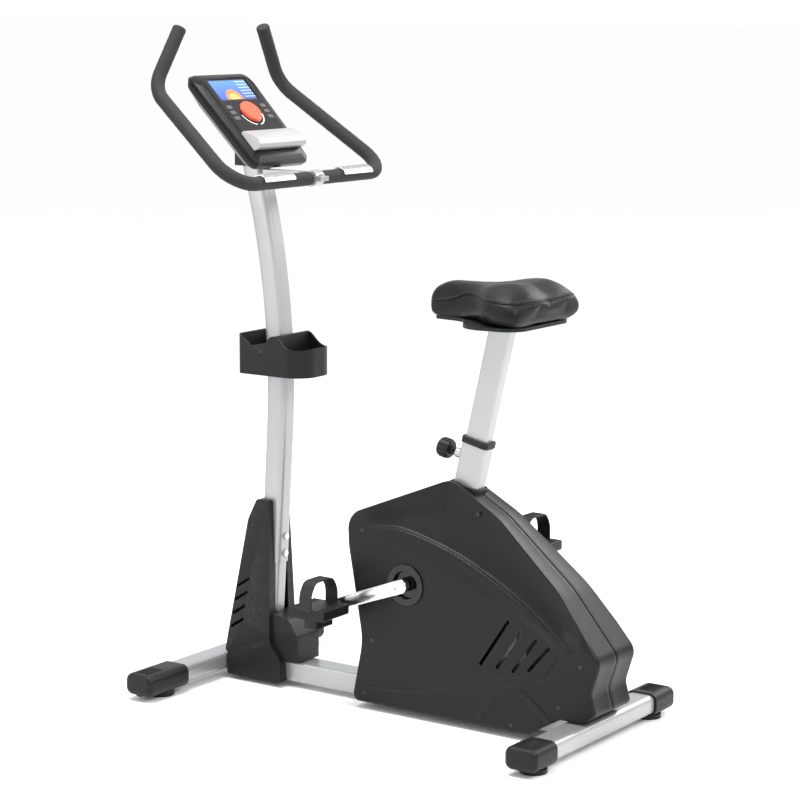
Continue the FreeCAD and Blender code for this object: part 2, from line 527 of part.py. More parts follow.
def bar_sweep(y_end, radius):
    circle = Part.Wire([Part.makeCircle(radius, V(BAR_X, y_end, BAR_Z), V(0, 1, 0))])
    return bar_path(y_end).makePipeShell([circle], True, False)


def handlebar_tube():
    left = bar_sweep(0, BAR_R).cut(bar_sweep(0, BAR_R - TUBE_WALL))
    return left.fuse(other_side(left)).removeSplitter()


def handlebar_foam():
    sleeve = bar_sweep(FOAM_GAP, FOAM_R).cut(bar_sweep(FOAM_GAP, BAR_R + FOAM_FIT))
    tip, bend = BAR_AXIS + V(*BAR_TIP), BAR_AXIS + V(*BAR_UP)
    along = (tip - bend).normalize()
    plug = Part.makeCylinder(FOAM_R, TIP_T, tip, along)
    rim = [e for e in plug.Edges if e.Curve.TypeId == "Part::GeomCircle"
           and (e.Curve.Center - tip).dot(along) > TIP_T / 2]
    return both_sides(sleeve.fuse(plug.makeFillet(TIP_T - 1, rim)))


def pulse_sensors():
    """Saddle-shaped sensor plates on top of the foam."""
    length = SENSOR_Y1 - SENSOR_Y0
    start = (BAR_X, SENSOR_Y0, BAR_Z)
    shell = ring(start, (0, 1, 0), FOAM_R + SENSOR_T, FOAM_R + SENSOR_GAP, length)
    top = block(BAR_X - 2 * FOAM_R, BAR_X + 2 * FOAM_R, SENSOR_Y0 - 1, SENSOR_Y1 + 1,
                BAR_Z + SENSOR_EDGE, BAR_Z + 2 * FOAM_R)
    return both_sides(shell.common(top))


def handlebar_clamp():
    """The welded arm behind the post and the lower half of the clamp."""
    arm_x1 = post_x(BAR_Z) - FPOST_D / 2 + CLAMP_WELD
    arm = block(BAR_X, arm_x1, -CLAMP_HALF, CLAMP_HALF, BAR_Z - CLAMP_ARM_H / 2,
                BAR_Z + CLAMP_ARM_H / 2)
    lug = block(BAR_X - CLAMP_LUG, BAR_X, -CLAMP_HALF, CLAMP_HALF, BAR_Z - CLAMP_LUG_T, BAR_Z)
    post_room = post_sweep(FPOST_D, FPOST_W, FPOST_R, POST_FOOT_Z, POST_TOP_Z)
    upper = block(BAR_X - 2 * CLAMP_R, BAR_X + CLAMP_LUG, -BAR_LOW_Y, BAR_LOW_Y, BAR_Z, HUGE + BAR_Z)
    body = arm.fuse(clamp_barrel()).fuse(lug).cut(bar_room()).cut(post_room).cut(upper)
    return body.cut(clamp_screw_holes())


def clamp_barrel():
    return rod((BAR_X, -CLAMP_HALF, BAR_Z), (0, 1, 0), CLAMP_R, 2 * CLAMP_HALF)


def clamp_screw_holes():
    holes = [rod((BAR_X + x, 0, BAR_Z - CLAMP_R), (0, 0, 1), SCREW_R, 2 * CLAMP_R)
             for x in (-CLAMP_SCREW, CLAMP_SCREW)]
    return Part.makeCompound(holes)


def bar_room():
    return rod((BAR_X, -BAR_LOW_Y, BAR_Z), (0, 1, 0), BAR_R + RUN_FIT, 2 * BAR_LOW_Y)


def clamp_cap():
    flange = block(BAR_X - CLAMP_LUG, BAR_X + CLAMP_LUG - CAP_GAP, -CLAMP_HALF, CLAMP_HALF,
                   BAR_Z, BAR_Z + CLAMP_LUG_T)
    lower = block(BAR_X - HUGE, BAR_X + HUGE, -BAR_LOW_Y, BAR_LOW_Y, 0, BAR_Z + SPLIT)
    body = clamp_barrel().fuse(flange).cut(bar_room()).cut(lower)
    return body.cut(clamp_screw_holes())


# ---- console ------------------------------------------------------------------------------
def on_console(shape):
    """From the console's flat frame (x up the face, z out of it) to its place."""
    tilted = lay_along(shape, (0, 1, 0), -CONSOLE_TILT)
    return moved(tilted, post_x(POST_TOP_Z) - CONSOLE_REACH, 0, POST_TOP_Z - CONSOLE_DROP)


def console_outline(inset, top_inset, z):
    low, high = CONSOLE_LOW_HALF - inset, CONSOLE_TOP_HALF - inset
    top = CONSOLE_L - top_inset
    return outline_xy([(inset, -low, CONSOLE_LOW_R), (top, -high, CONSOLE_TOP_R),
                       (top, high, CONSOLE_TOP_R), (inset, low, CONSOLE_LOW_R)], z)


def console_housing():
    shoulder, wall = -CONSOLE_BACK / 3, HOUSING_WALL + 1
    body = Part.makeLoft([console_outline(BACK_INSET, BACK_INSET + 8, -CONSOLE_BACK),
                          console_outline(2, 6, shoulder), console_outline(0, 0, 0)], True, True)
    inner = Part.makeLoft([console_outline(BACK_INSET + wall, BACK_INSET + 8 + wall,
                                           HOUSING_WALL - CONSOLE_BACK),
                           console_outline(wall + 1.5, wall + 5.5, shoulder),
                           console_outline(HOUSING_WALL, HOUSING_WALL, 1)], True, True)
    shell = on_console(body.cut(inner))
    top_x, half = post_x(POST_TOP_Z), FPOST_W / 2 + SOCKET_SIDE
    socket = block(top_x - FPOST_D / 2 - SOCKET_REAR, top_x + FPOST_D / 2 + SOCKET_FRONT,
                   -half, half, POST_TOP_Z - SOCKET_DEEP, POST_TOP_Z + SOCKET_UP)
    above = on_console(block(-CONSOLE_L, 2 * CONSOLE_L, -CONSOLE_L, CONSOLE_L, 1 - CONSOLE_BACK,
                             CONSOLE_L))
    post_room = post_sweep(FPOST_D + 2 * CAP_GAP, FPOST_W + 2 * CAP_GAP, FPOST_R,
                           POST_FOOT_Z, POST_TOP_Z + CAP_GAP)
    return largest_solid(shell.fuse(socket.cut(above)).cut(post_room))


def key_places():
    return [(u, side * KEY_Y) for side in (1, -1) for u in KEY_U]


def console_face():
    shoulder, wall, through = CONSOLE_FACE / 2, FACE_WALL, 2 * CONSOLE_FACE
    face = Part.makeLoft([console_outline(0, 0, 0), console_outline(3, 4, shoulder),
                          console_outline(FACE_INSET, FACE_INSET + 4, CONSOLE_FACE)], True, True)
    under = Part.makeLoft([console_outline(wall, wall, -0.5),
                           console_outline(3 + wall, 4 + wall, shoulder - 1),
                           console_outline(FACE_INSET + wall, FACE_INSET + 4 + wall,
                                           CONSOLE_FACE - FACE_WALL)], True, True)
    half = SCREEN_HALF + SCREEN_GAP
    face = face.cut(under)
    face = face.cut(block(SCREEN_U0 - SCREEN_GAP, SCREEN_U1 + SCREEN_GAP, -half, half, 0, through))
    face = face.cut(rod((DIAL_U, 0, 0), (0, 0, 1), DIAL_HOLE_R, through))
    for u, y in key_places():
        face = face.cut(key_block(u, y, KEY_GAP, 0, through))
    return on_console(face)


def key_block(u, y, grow, z0, z1):
    return block(u - KEY_W / 2 - grow, u + KEY_W / 2 + grow,
                 y - KEY_L / 2 - grow, y + KEY_L / 2 + grow, z0, z1)


def key_piece(u, y):
    base = CONSOLE_FACE - FACE_WALL - KEY_ROOT
    return on_console(key_block(u, y, 0, base, CONSOLE_FACE + KEY_TRAVEL + KEY_PROUD))


def lcd_window():
    return on_console(block(SCREEN_U0, SCREEN_U1, -SCREEN_HALF, SCREEN_HALF,
                            CONSOLE_FACE - FACE_WALL, CONSOLE_FACE - SCREEN_SINK))


def dial():
    foot = CONSOLE_FACE + DIAL_GAP
    shaft = rod((DIAL_U, 0, foot - DIAL_SHAFT), (0, 0, 1), DIAL_HOLE_R - KEY_GAP, DIAL_SHAFT + 1)
    disc = rod((DIAL_U, 0, foot), (0, 0, 1), DIAL_R, DIAL_H)
    rim = [e for e in disc.Edges if abs(e.CenterOfMass.z - foot - DIAL_H) < 0.01]
    return on_console(disc.makeFillet(DIAL_ROUND, rim).fuse(shaft))


def reading_rest():
    """A curved ledge for a book: a bowed wall with two side wings."""
    z0 = CONSOLE_FACE
    side = [(REST_U0, z0, 3), (REST_U0 - REST_LEAN, z0 + REST_LIP, 10),
            (REST_U0 + REST_CREST, z0 + REST_TOP, 12), (REST_U1, z0 + REST_FOOT, 5),
            (REST_U1, z0, 2)]
    wire = outline_xz(side, -REST_HALF)
    body = prism(wire, (0, 2 * REST_HALF, 0))
    hollow = prism(wire.makeOffset2D(-REST_WALL), (0, 2 * REST_HALF - 2 * REST_WALL, 0))
    return on_console(body.cut(moved(hollow, 0, REST_WALL, 0)))


# ---- seat ---------------------------------------------------------------------------------
def on_seat_axis(shape):
    """From a frame with z along the seat tube (0 at the pivot) to the tube's place."""
    return moved(lay_along(shape, (0, 1, 0), -SEAT_LEAN_DEG), SEAT_PIVOT_X, 0, SEAT_PIVOT_Z)


def seat_tube_length():
    return (SEAT_PIVOT_Z - BEAM_TOP) / math.cos(SEAT_LEAN) + SEAT_TUBE_D


def seat_tube():
    tube = rect_tube(SEAT_TUBE_D, SEAT_TUBE_W, SEAT_TUBE_R, SEAT_TUBE_WALL, -seat_tube_length(),
                     SEAT_TUBE_TOP)
    front = SEAT_TUBE_D / 2
    boss = rod((front - 1, 0, -PIN_DROP), (1, 0, 0), PIN_R + PIN_BOSS_WALL, PIN_BOSS_L)
    hole = rod((front / 2, 0, -PIN_DROP), (1, 0, 0), PIN_R + SLIDE_GAP, front + PIN_BOSS_L)
    placed = on_seat_axis(tube.fuse(boss).cut(hole))
    return placed.cut(block(-HUGE, HUGE, -HUGE, HUGE, -HUGE, BEAM_TOP))


def seat_tube_bush():
    """A moulded sleeve in the tube's mouth with a lip over its end."""
    top, rim = SEAT_TUBE_TOP, 2 * BUSH_RIM
    lip = rect_tube(SEAT_TUBE_D + rim, SEAT_TUBE_W + rim, SEAT_TUBE_R + 2, 0, top, top + BUSH_LIP)
    inside = 2 * SEAT_TUBE_WALL + CAP_GAP
    skirt = rect_tube(SEAT_TUBE_D - inside, SEAT_TUBE_W - inside, POST_R, 0, top - BUSH_DEEP, top)
    room = rect_tube(POST_D + 2 * SLIDE_GAP, POST_W + 2 * SLIDE_GAP, POST_R, 0, -BUSH_DEEP,
                     BUSH_DEEP)
    hole = rod((0, 0, -PIN_DROP), (1, 0, 0), PIN_R + SLIDE_GAP, SEAT_TUBE_D)
    return on_seat_axis(lip.fuse(skirt).cut(room).cut(hole))


def seat_post():
    level = SADDLE_Z0 - PAN_T - PAN_GAP
    reach = (level - SEAT_PIVOT_Z) / math.cos(SEAT_LEAN) + POST_D
    tube = rect_tube(POST_D, POST_W, POST_R, POST_WALL, -POST_IN, reach)
    for i in range(HOLE_COUNT):
        z = -PIN_DROP - (i - HOLES_ABOVE) * HOLE_PITCH
        tube = tube.cut(rod((0, 0, z), (1, 0, 0), HOLE_R, POST_D))
    post = on_seat_axis(tube)
    above = block(-HUGE, HUGE, -HUGE, HUGE, level - PLATE_T, level + HUGE)
    top_x = SEAT_PIVOT_X - (level - SEAT_PIVOT_Z) * math.tan(SEAT_LEAN)
    plate = block(top_x - PLATE_REAR, top_x + PLATE_FRONT, -PLATE_HALF, PLATE_HALF,
                  level - PLATE_T, level)
    return post.cut(above).fuse(plate)


def saddle_outline(inset, z):
    rear, nose = SADDLE_REAR + inset, SADDLE_NOSE - inset
    wide, narrow = SADDLE_HALF - inset, NOSE_HALF - inset
    half = [(nose, narrow, narrow * ARM_SLIM),
            (SADDLE_NOSE - NOSE_L, narrow + WAIST_WIDER, SADDLE_BEND),
            (SADDLE_REAR + WIDE_L, wide, SADDLE_BEND), (rear, wide - REAR_NARROWER, SADDLE_CORNER)]
    return outline_xy([(x, y, r) for x, y, r in half] + [(x, -y, r) for x, y, r in half[::-1]], z)


def saddle_cushion():
    levels = [(7, SADDLE_Z0), (0, SADDLE_Z0 + SADDLE_BULGE), (2, SADDLE_Z1 - SADDLE_SHOULDER),
              (18, SADDLE_Z1 - SADDLE_CROWN)]
    return Part.makeLoft([saddle_outline(inset, z) for inset, z in levels], True, True)


def saddle_base():
    return prism(saddle_outline(PAN_INSET, SADDLE_Z0 - PAN_T), (0, 0, PAN_T))


def seat_knob():
    """A pull knob with its shank and locking pin."""
    start = SEAT_TUBE_D / 2 - SEAT_TUBE_WALL + SLIDE_GAP
    out = SEAT_TUBE_D / 2 + KNOB_OUT
    pin = rod((start, 0, -PIN_DROP), (1, 0, 0), PIN_R, out - start + KNOB_ROUND)
    knob = rod((out, 0, -PIN_DROP), (1, 0, 0), KNOB_R, KNOB_L)
    rims = [e for e in knob.Edges if e.Curve.TypeId == "Part::GeomCircle"]
    neck = rod((out - KNOB_NECK, 0, -PIN_DROP), (1, 0, 0), PIN_R + SCREW_HEAD_R, KNOB_NECK)
    return on_seat_axis(knob.makeFillet(KNOB_ROUND, rims).fuse(neck).fuse(pin))


def casing_collar():
    """The trim lip where the seat tube leaves the casing."""
    gap = 2 * COLLAR_GAP
    inner = rect_tube(SEAT_TUBE_D + gap, SEAT_TUBE_W + gap, SEAT_TUBE_R + COLLAR_GAP, 0,
                      -2 * COLLAR_DROP, COLLAR_DROP)
    return on_seat_axis(collar_blank(0, -COLLAR_DROP, COLLAR_T - COLLAR_DROP).cut(inner))


def collar_blank(grow, z0, z1):
    side = 2 * (COLLAR_W + grow)
    return rect_tube(SEAT_TUBE_D + side, SEAT_TUBE_W + side, COLLAR_R + grow, 0, z0, z1)


# ---- casing -------------------------------------------------------------------------------


def casing_section(inset, y):
    wire = outline_xz(CASING, y)
    return wire.makeOffset2D(-inset) if inset > 0 else wire


def lean_line():
    """A point and a unit direction (towards the rear) of the line above which the side leans in."""
    front = V(CASING_FRONT_X, CASING_HALF, LEAN_FRONT_Z)
    rear = V(CASING_REAR_X, CASING_HALF, LEAN_REAR_Z)
    return front, (rear - front).normalize()


def above_line(x, z):
    """How far a place on the side lies above the slanted line, measured square to it."""
    start, along = lean_line()
    return (z - start.z) * -along.x + (x - start.x) * along.z


def side_lean():
    peak = above_line(CASING_TOP_X, CASING_PEAK_Z)
    return (CASING_HALF - CASING_TOP_HALF) / peak


def side_y(x, z):
    """The outer face of the casing's left side at a place."""
    return CASING_HALF - side_lean() * max(above_line(x, z), 0.0)


def lean_cutter(inset):
    """What lies outside the leaning upper side, inset by the wall."""
    start, along = lean_line()
    up = V(along.z, 0, -along.x)
    out = V(0, 1, 0)
    half = CASING_HALF - inset
    at = start - along * HUGE
    at.y = half
    top = at + up * HUGE - out * (side_lean() * HUGE)
    corners = [at, at + out * HUGE, top + out * HUGE, top]
    return prism(bent_wire([(corner, 0) for corner in corners], True), tuple(along * (3 * HUGE)))


def casing_solid(inset):
    """Half of the casing: an even body, a sloping edge, and the upper side leaning in."""
    shoulder = CASING_HALF - CASING_EDGE
    body = prism(casing_section(inset, 0), (0, shoulder, 0))
    edge = Part.makeLoft([casing_section(inset, shoulder),
                          casing_section(inset + CASING_INSET, CASING_HALF - inset)], True, True)
    return body.fuse(edge).cut(lean_cutter(inset))


def casing_left():
    shell = casing_solid(0).cut(casing_solid(CASING_WALL))
    shell = shell.cut(on_seat_axis(collar_blank(COLLAR_ROOM, -2 * COLLAR_DROP, COLLAR_DROP)))
    shell = shell.cut(rod((HUB_X, 0, HUB_Z), (0, 1, 0), COVER_HOLE_R, HUGE))
    for x, z in CASING_SCREWS:
        y0 = side_y(x, z) - 2 * CASING_SCREW_L
        shell = shell.cut(rod((x, y0, z), (0, 1, 0), CASING_SCREW_R, HUGE))
    gap = BEAM_GAP
    shell = shell.cut(block(-HUGE, HUGE, -1, BEAM_W / 2 + gap, 0, BEAM_TOP + gap))
    return largest_solid(shell.cut(vent_slots()))


def vent_slots():
    cuts = []
    depth = CASING_HALF - 4 * CASING_WALL
    for (x0, z0), (x1, z1) in zip(VENT_TOP, VENT_LOW):
        start, end = V(WHEEL_X + x0, depth, WHEEL_Z + z0), V(WHEEL_X + x1, depth, WHEEL_Z + z1)
        run = (end - start).normalize()
        side = V(-run.z, 0, run.x) * (VENT_W / 2)
        corners = [start + side, end + side, end - side, start - side]
        cuts.append(prism(bent_wire([(c, VENT_END_R) for c in corners], True), (0, HUGE, 0)))
    return Part.makeCompound(cuts)


def hub_covers():
    """Round dished covers over the casing's crank openings, with a raised rim."""
    rim_y, dish_y = CASING_HALF + RUN_FIT, CASING_HALF - COVER_SINK
    fit, eye = COVER_HOLE_R - COVER_GAP, AXLE_R + 4
    rim = ring((HUB_X, rim_y, HUB_Z), (0, 1, 0), HUB_COVER_R, HUB_COVER_R - COVER_RIM_W, COVER_RIM_T)
    wall = ring((HUB_X, dish_y, HUB_Z), (0, 1, 0), fit, fit - COVER_WALL, COVER_SINK + 1)
    dish = ring((HUB_X, dish_y, HUB_Z), (0, 1, 0), fit - 1, eye, COVER_WALL)
    return both_sides(rim.fuse(wall).fuse(dish))


# ---- drive --------------------------------------------------------------------------------


def frame_plate(y0, corners):
    return prism(outline_xz(corners, y0), (0, FRAME_PLATE_T, 0))


def drive_frame():
    """Bottom bracket shell on two gussets, and the two fork plates of the flywheel."""
    shell = ring((HUB_X, SHELL_Y0, HUB_Z), (0, 1, 0), SHELL_R, SHELL_BORE_R, SHELL_Y1 - SHELL_Y0)
    shell_room = rod((HUB_X, -HUGE, HUB_Z), (0, 1, 0), SHELL_R, 2 * HUGE)
    _, stud = idler_place()
    gusset = [(HUB_X + GUSSET_FRONT, HUB_Z + GUSSET_UP_FRONT, 16),
              (HUB_X - GUSSET_REAR, HUB_Z + GUSSET_UP_REAR, 10),
              (HUB_X - GUSSET_LOW_REAR, BEAM_TOP, 3), (HUB_X + GUSSET_LOW_FRONT, BEAM_TOP, 3)]
    left = frame_plate(PLATE_IN, gusset)
    lug = slab(lug_outline(stud), -PLATE_IN - FRAME_PLATE_T, -PLATE_IN)
    right = frame_plate(-PLATE_IN - FRAME_PLATE_T, gusset).fuse(lug)
    parts = [shell, left.cut(shell_room), right.cut(shell_room)]
    top = WHEEL_Z + FORK_TOP_UP
    fork = [(WHEEL_X + FORK_TOP_HALF, top, FORK_TOP_R), (WHEEL_X - FORK_TOP_HALF, top, FORK_TOP_R),
            (WHEEL_X - FORK_FOOT_HALF, FORK_FOOT_Z, 4), (WHEEL_X + FORK_FOOT_HALF, FORK_FOOT_Z, 4)]
    axle_hole = rod((WHEEL_X, -HUGE, WHEEL_Z), (0, 1, 0), WHEEL_AXLE_R, 2 * HUGE)
    spacer = block(WHEEL_X - FORK_SPACER_HALF, WHEEL_X + FORK_SPACER_HALF,
                   FORK_RIGHT_Y + FRAME_PLATE_T, -BEAM_W / 2, FORK_FOOT_Z, BEAM_TOP)
    parts.append(frame_plate(FORK_LEFT_Y, fork).cut(axle_hole))
    parts.append(frame_plate(FORK_RIGHT_Y, fork).fuse(spacer).cut(axle_hole))
    return Part.makeCompound(parts)


def lug_outline(stud):
    """A bar from the shell to the idler's stud."""
    along = (stud - V(HUB_X, 0, HUB_Z)).normalize()
    across = V(-along.z, 0, along.x) * IDLER_EYE_R
    start, end = V(HUB_X, 0, HUB_Z) + along * SHELL_BORE_R, stud + along * IDLER_EYE_R
    corners = [start + across, end + across, end - across, start - across]
    return [(c.x, c.z, r) for c, r in zip(corners, (0, 8, 8, 0))]


def crank_bearings():
    parts = []
    for y in (SHELL_Y0, SHELL_Y1 - BEARING_W):
        start = (HUB_X, y, HUB_Z)
        parts.append(ring(start, (0, 1, 0), SHELL_BORE_R, AXLE_R + RUN_FIT, BEARING_W))
    return Part.makeCompound(parts)


def flywheel_axle():
    start = FORK_RIGHT_Y - WHEEL_NUT_T - WHEEL_NUT_GAP
    end = FORK_LEFT_Y + FRAME_PLATE_T + WHEEL_NUT_T + WHEEL_NUT_GAP
    body = rod((WHEEL_X, start, WHEEL_Z), (0, 1, 0), WHEEL_AXLE_R, end - start)
    for y in (FORK_RIGHT_Y - WHEEL_NUT_T, FORK_LEFT_Y + FRAME_PLATE_T):
        body = body.fuse(rod((WHEEL_X, y, WHEEL_Z), (0, 1, 0), WHEEL_NUT_R, WHEEL_NUT_T))
    return body


def flywheel():
    """A heavy rim on a web, a long hub and the small belt pulley in one turning piece."""
    y0, pulley_y = WHEEL_Y0, DRIVE_Y - PULLEY_W / 2
    inner = WHEEL_R - RIM_T
    rim = ring((WHEEL_X, y0, WHEEL_Z), (0, 1, 0), WHEEL_R, inner, WHEEL_W)
    web = ring((WHEEL_X, y0, WHEEL_Z), (0, 1, 0), inner + 1, WHEEL_HUB_R - 2, WEB_T)
    hub = ring((WHEEL_X, pulley_y, WHEEL_Z), (0, 1, 0), WHEEL_HUB_R, WHEEL_AXLE_R + RUN_FIT,
               y0 + WHEEL_HUB_END - pulley_y)
    pulley = ring((WHEEL_X, pulley_y, WHEEL_Z), (0, 1, 0), SMALL_R, WHEEL_HUB_R - 1, PULLEY_W)
    return rim.fuse(web).fuse(hub).fuse(pulley)


def generator_stator():
    """A coil ring inside the rim, carried on a plate from the left fork."""
    y0, plate_y = WHEEL_Y0 + STATOR_Y, FORK_LEFT_Y - STATOR_PLATE_T
    radius = WHEEL_R - RIM_T - STATOR_GAP
    coil = ring((WHEEL_X, y0, WHEEL_Z), (0, 1, 0), radius, radius - STATOR_W, plate_y - y0)
    plate = ring((WHEEL_X, plate_y, WHEEL_Z), (0, 1, 0), radius - STATOR_PLATE_SIDE,
                 STATOR_PLATE_IN, STATOR_PLATE_T)
    return coil.fuse(plate)


def controller_board():
    """The brake's circuit board on four stand-offs from the left wall."""
    deep = BOARD_STAND + BOARD_T
    y0 = CASING_HALF - CASING_WALL - deep
    mid_x, mid_z = HUB_X + BOARD_AHEAD, HUB_Z + BOARD_UP
    a, b = BOARD_L / 2, BOARD_H / 2
    board = block(mid_x - a, mid_x + a, y0, y0 + BOARD_T, mid_z - b, mid_z + b)
    for x in (BOARD_POST_IN - a, a - BOARD_POST_IN):
        for z in (BOARD_POST_IN - b, b - BOARD_POST_IN):
            board = board.fuse(rod((mid_x + x, y0, mid_z + z), (0, 1, 0), BOARD_POST_R, deep))
    return board


def drive_pulley():
    y0 = DRIVE_Y - PULLEY_W / 2
    inner = DRIVE_R - PULLEY_RIM
    rim = ring((HUB_X, y0, HUB_Z), (0, 1, 0), DRIVE_R, inner, PULLEY_W)
    web = ring((HUB_X, y0 + PULLEY_WEB, HUB_Z), (0, 1, 0), inner + 1, AXLE_R, PULLEY_WEB)
    hub = ring((HUB_X, y0 + PULLEY_HUB_Y, HUB_Z), (0, 1, 0), PULLEY_HUB_R, AXLE_R,
               PULLEY_W - PULLEY_HUB_Y - 3)
    return rim.fuse(web).fuse(hub)


def belt_loop(grow, y0, width):
    """The convex loop round both pulleys, grown by grow."""
    big, small = DRIVE_R + grow, SMALL_R + grow
    p, q = V(HUB_X, y0, HUB_Z), V(WHEEL_X, y0, WHEEL_Z)
    line = q - p
    base = math.atan2(line.z, line.x)
    spread = math.acos((big - small) / line.Length)

    def at(centre, radius, angle):
        return centre + V(radius * math.cos(angle), 0, radius * math.sin(angle))

    a, b = base + spread, base - spread
    edges = [Part.LineSegment(at(p, big, a), at(q, small, a)).toShape(),
             Part.Arc(at(q, small, a), at(q, small, base), at(q, small, b)).toShape(),
             Part.LineSegment(at(q, small, b), at(p, big, b)).toShape(),
             Part.Arc(at(p, big, b), at(p, big, base + math.pi), at(p, big, a)).toShape()]
    return prism(Part.Wire(edges), (0, width, 0))


def drive_belt():
    y0 = DRIVE_Y - BELT_W / 2
    return belt_loop(BELT_LIFT + BELT_T, y0, BELT_W).cut(belt_loop(BELT_LIFT, y0, BELT_W))


def idler_place():
    """Centre of the idler: below the belt's lower run, and the pivot of its arm."""
    p, q = V(HUB_X, 0, HUB_Z), V(WHEEL_X, 0, WHEEL_Z)
    line = q - p
    angle = math.atan2(line.z, line.x) + math.acos((DRIVE_R - SMALL_R) / line.Length)
    out = V(math.cos(angle), 0, math.sin(angle))
    start, end = p + out * DRIVE_R, q + out * SMALL_R
    centre = start + (end - start) * IDLER_ALONG + out * (BELT_T + IDLER_R + IDLER_GAP)
    pivot = centre + (start - end).normalize() * IDLER_ARM_L
    return centre, pivot


def idler_pulley():
    c, _ = idler_place()
    start = (c.x, DRIVE_Y - BELT_W / 2, c.z)
    return ring(start, (0, 1, 0), IDLER_R, IDLER_PIN_R + RUN_FIT, BELT_W)


def idler_arm():
    c, p = idler_place()
    y0 = DRIVE_Y + BELT_W / 2 + IDLER_SIDE
    middle = (c + p) * 0.5
    angle = math.degrees(math.atan2(p.z - c.z, p.x - c.x))
    half, thick = IDLER_ARM_HALF, IDLER_ARM_T
    bar = block(-IDLER_ARM_L / 2, IDLER_ARM_L / 2, y0, y0 + thick, -half, half)
    bar = moved(lay_along(bar, (0, 1, 0), -angle), middle.x, 0, middle.z)
    ends = rod((c.x, y0, c.z), (0, 1, 0), half, thick)
    ends = ends.fuse(rod((p.x, y0, p.z), (0, 1, 0), IDLER_EYE_R, thick))
    pin = rod((c.x, DRIVE_Y - BELT_W / 2 - 2, c.z), (0, 1, 0), IDLER_PIN_R, BELT_W + 4)
    pivot_hole = rod((p.x, y0 - 1, p.z), (0, 1, 0), IDLER_STUD_R + RUN_FIT, thick + 2)
    return bar.fuse(ends).cut(pivot_hole).fuse(pin)


def idler_stud():
    """The pivot stud, on the right gusset."""
    _, p = idler_place()
    y0 = DRIVE_Y + BELT_W / 2 + IDLER_SIDE - IDLER_STUD_GAP
    return rod((p.x, y0, p.z), (0, 1, 0), IDLER_STUD_R, -PLATE_IN - FRAME_PLATE_T - y0)


# ---- crank and pedals ---------------------------------------------------------------------
def crank_end(side):
    """Pedal spindle centre for side +1 (left) or -1 (right)."""
    angle = math.radians(CRANK_DEG)
    return (HUB_X + side * CRANK_LENGTH * math.cos(angle),
            HUB_Z + side * CRANK_LENGTH * math.sin(angle))


def crank_axle():
    return rod((HUB_X, -AXLE_HALF, HUB_Z), (0, 1, 0), AXLE_R, 2 * AXLE_HALF)


def crank_arm(side):
    ex, ez = crank_end(side)
    y0 = CRANK_IN if side > 0 else -CRANK_OUT
    hub, eye = V(HUB_X, y0, HUB_Z), V(ex, y0, ez)
    along = (eye - hub).normalize()
    across = V(-along.z, 0, along.x)
    wide, narrow = across * (BOSS_R * ARM_SLIM), across * (EYE_R * ARM_SLIM)
    corners = [hub + wide, eye + narrow, eye - narrow, hub - wide]
    arm = prism(bent_wire([(corner, 0) for corner in corners], True), (0, CRANK_T, 0))
    arm = arm.fuse(rod(tuple(hub), (0, 1, 0), BOSS_R, CRANK_T))
    arm = arm.fuse(rod(tuple(eye), (0, 1, 0), EYE_R, CRANK_T))
    return arm.cut(crank_axle()).cut(rod((ex, y0 - 1, ez), (0, 1, 0), SPINDLE_R, CRANK_T + 2))


def pedal_spindles():
    parts = []
    for side in (1, -1):
        ex, ez = crank_end(side)
        end = PEDAL_Y + PEDAL_W / 2 - SPINDLE_END
        spindle = rod((ex, CRANK_IN if side > 0 else -end, ez), (0, 1, 0), SPINDLE_R, end - CRANK_IN)
        collar_y = CRANK_OUT if side > 0 else -CRANK_OUT - SPINDLE_COLLAR
        collar = rod((ex, collar_y, ez), (0, 1, 0), SPINDLE_COLLAR_R, SPINDLE_COLLAR)
        parts.append(spindle.fuse(collar))
    return Part.makeCompound(parts)


def pedal_body(side):
    ex, ez = crank_end(side)
    y0 = PEDAL_Y - PEDAL_W / 2
    half, rise = PEDAL_L / 2, PEDAL_H / 2
    plan = [(-half, rise, 3), (half, rise, 3), (half, -rise, 6), (-half, -rise, 6)]
    body = moved(slab(plan, y0, y0 + PEDAL_W), ex, 0, ez)
    keel = block(ex - STRAP_W / 2, ex + STRAP_W / 2, PEDAL_Y - WEIGHT_HALF, PEDAL_Y + WEIGHT_HALF,
                 ez - rise - WEIGHT_DROP, ez - rise + 1)
    bore = rod((ex, y0 - 1, ez), (0, 1, 0), SPINDLE_R + RUN_FIT, PEDAL_W - PEDAL_END_WALL + 1)
    body = body.fuse(keel).cut(bore)
    return body if side > 0 else other_side(body)


def pedal_strap(side):
    ex, ez = crank_end(side)
    w = PEDAL_W / 2 + STRAP_T + STRAP_GAP
    low, high = SPINDLE_R + 1.0, STRAP_RISE
    knee, shoulder = high - 26, w - 16
    corners = [(-w, low, 0), (-w, knee, 40), (-shoulder, high, 22), (shoulder, high, 22),
               (w, knee, 40), (w, low, 0)]
    wire = bent_wire([(V(0, PEDAL_Y + y, z), r) for y, z, r in corners], True)
    band = prism(wire, (STRAP_W, 0, 0))
    inner = prism(wire.makeOffset2D(-STRAP_T), (STRAP_W, 0, 0))
    under = block(0, STRAP_W, PEDAL_Y - w + STRAP_T, PEDAL_Y + w - STRAP_T, low - 1,
                  PEDAL_H / 2 + 1)
    strap = moved(band.cut(inner).cut(under), ex - STRAP_W / 2, 0, ez)
    return strap if side > 0 else other_side(strap)


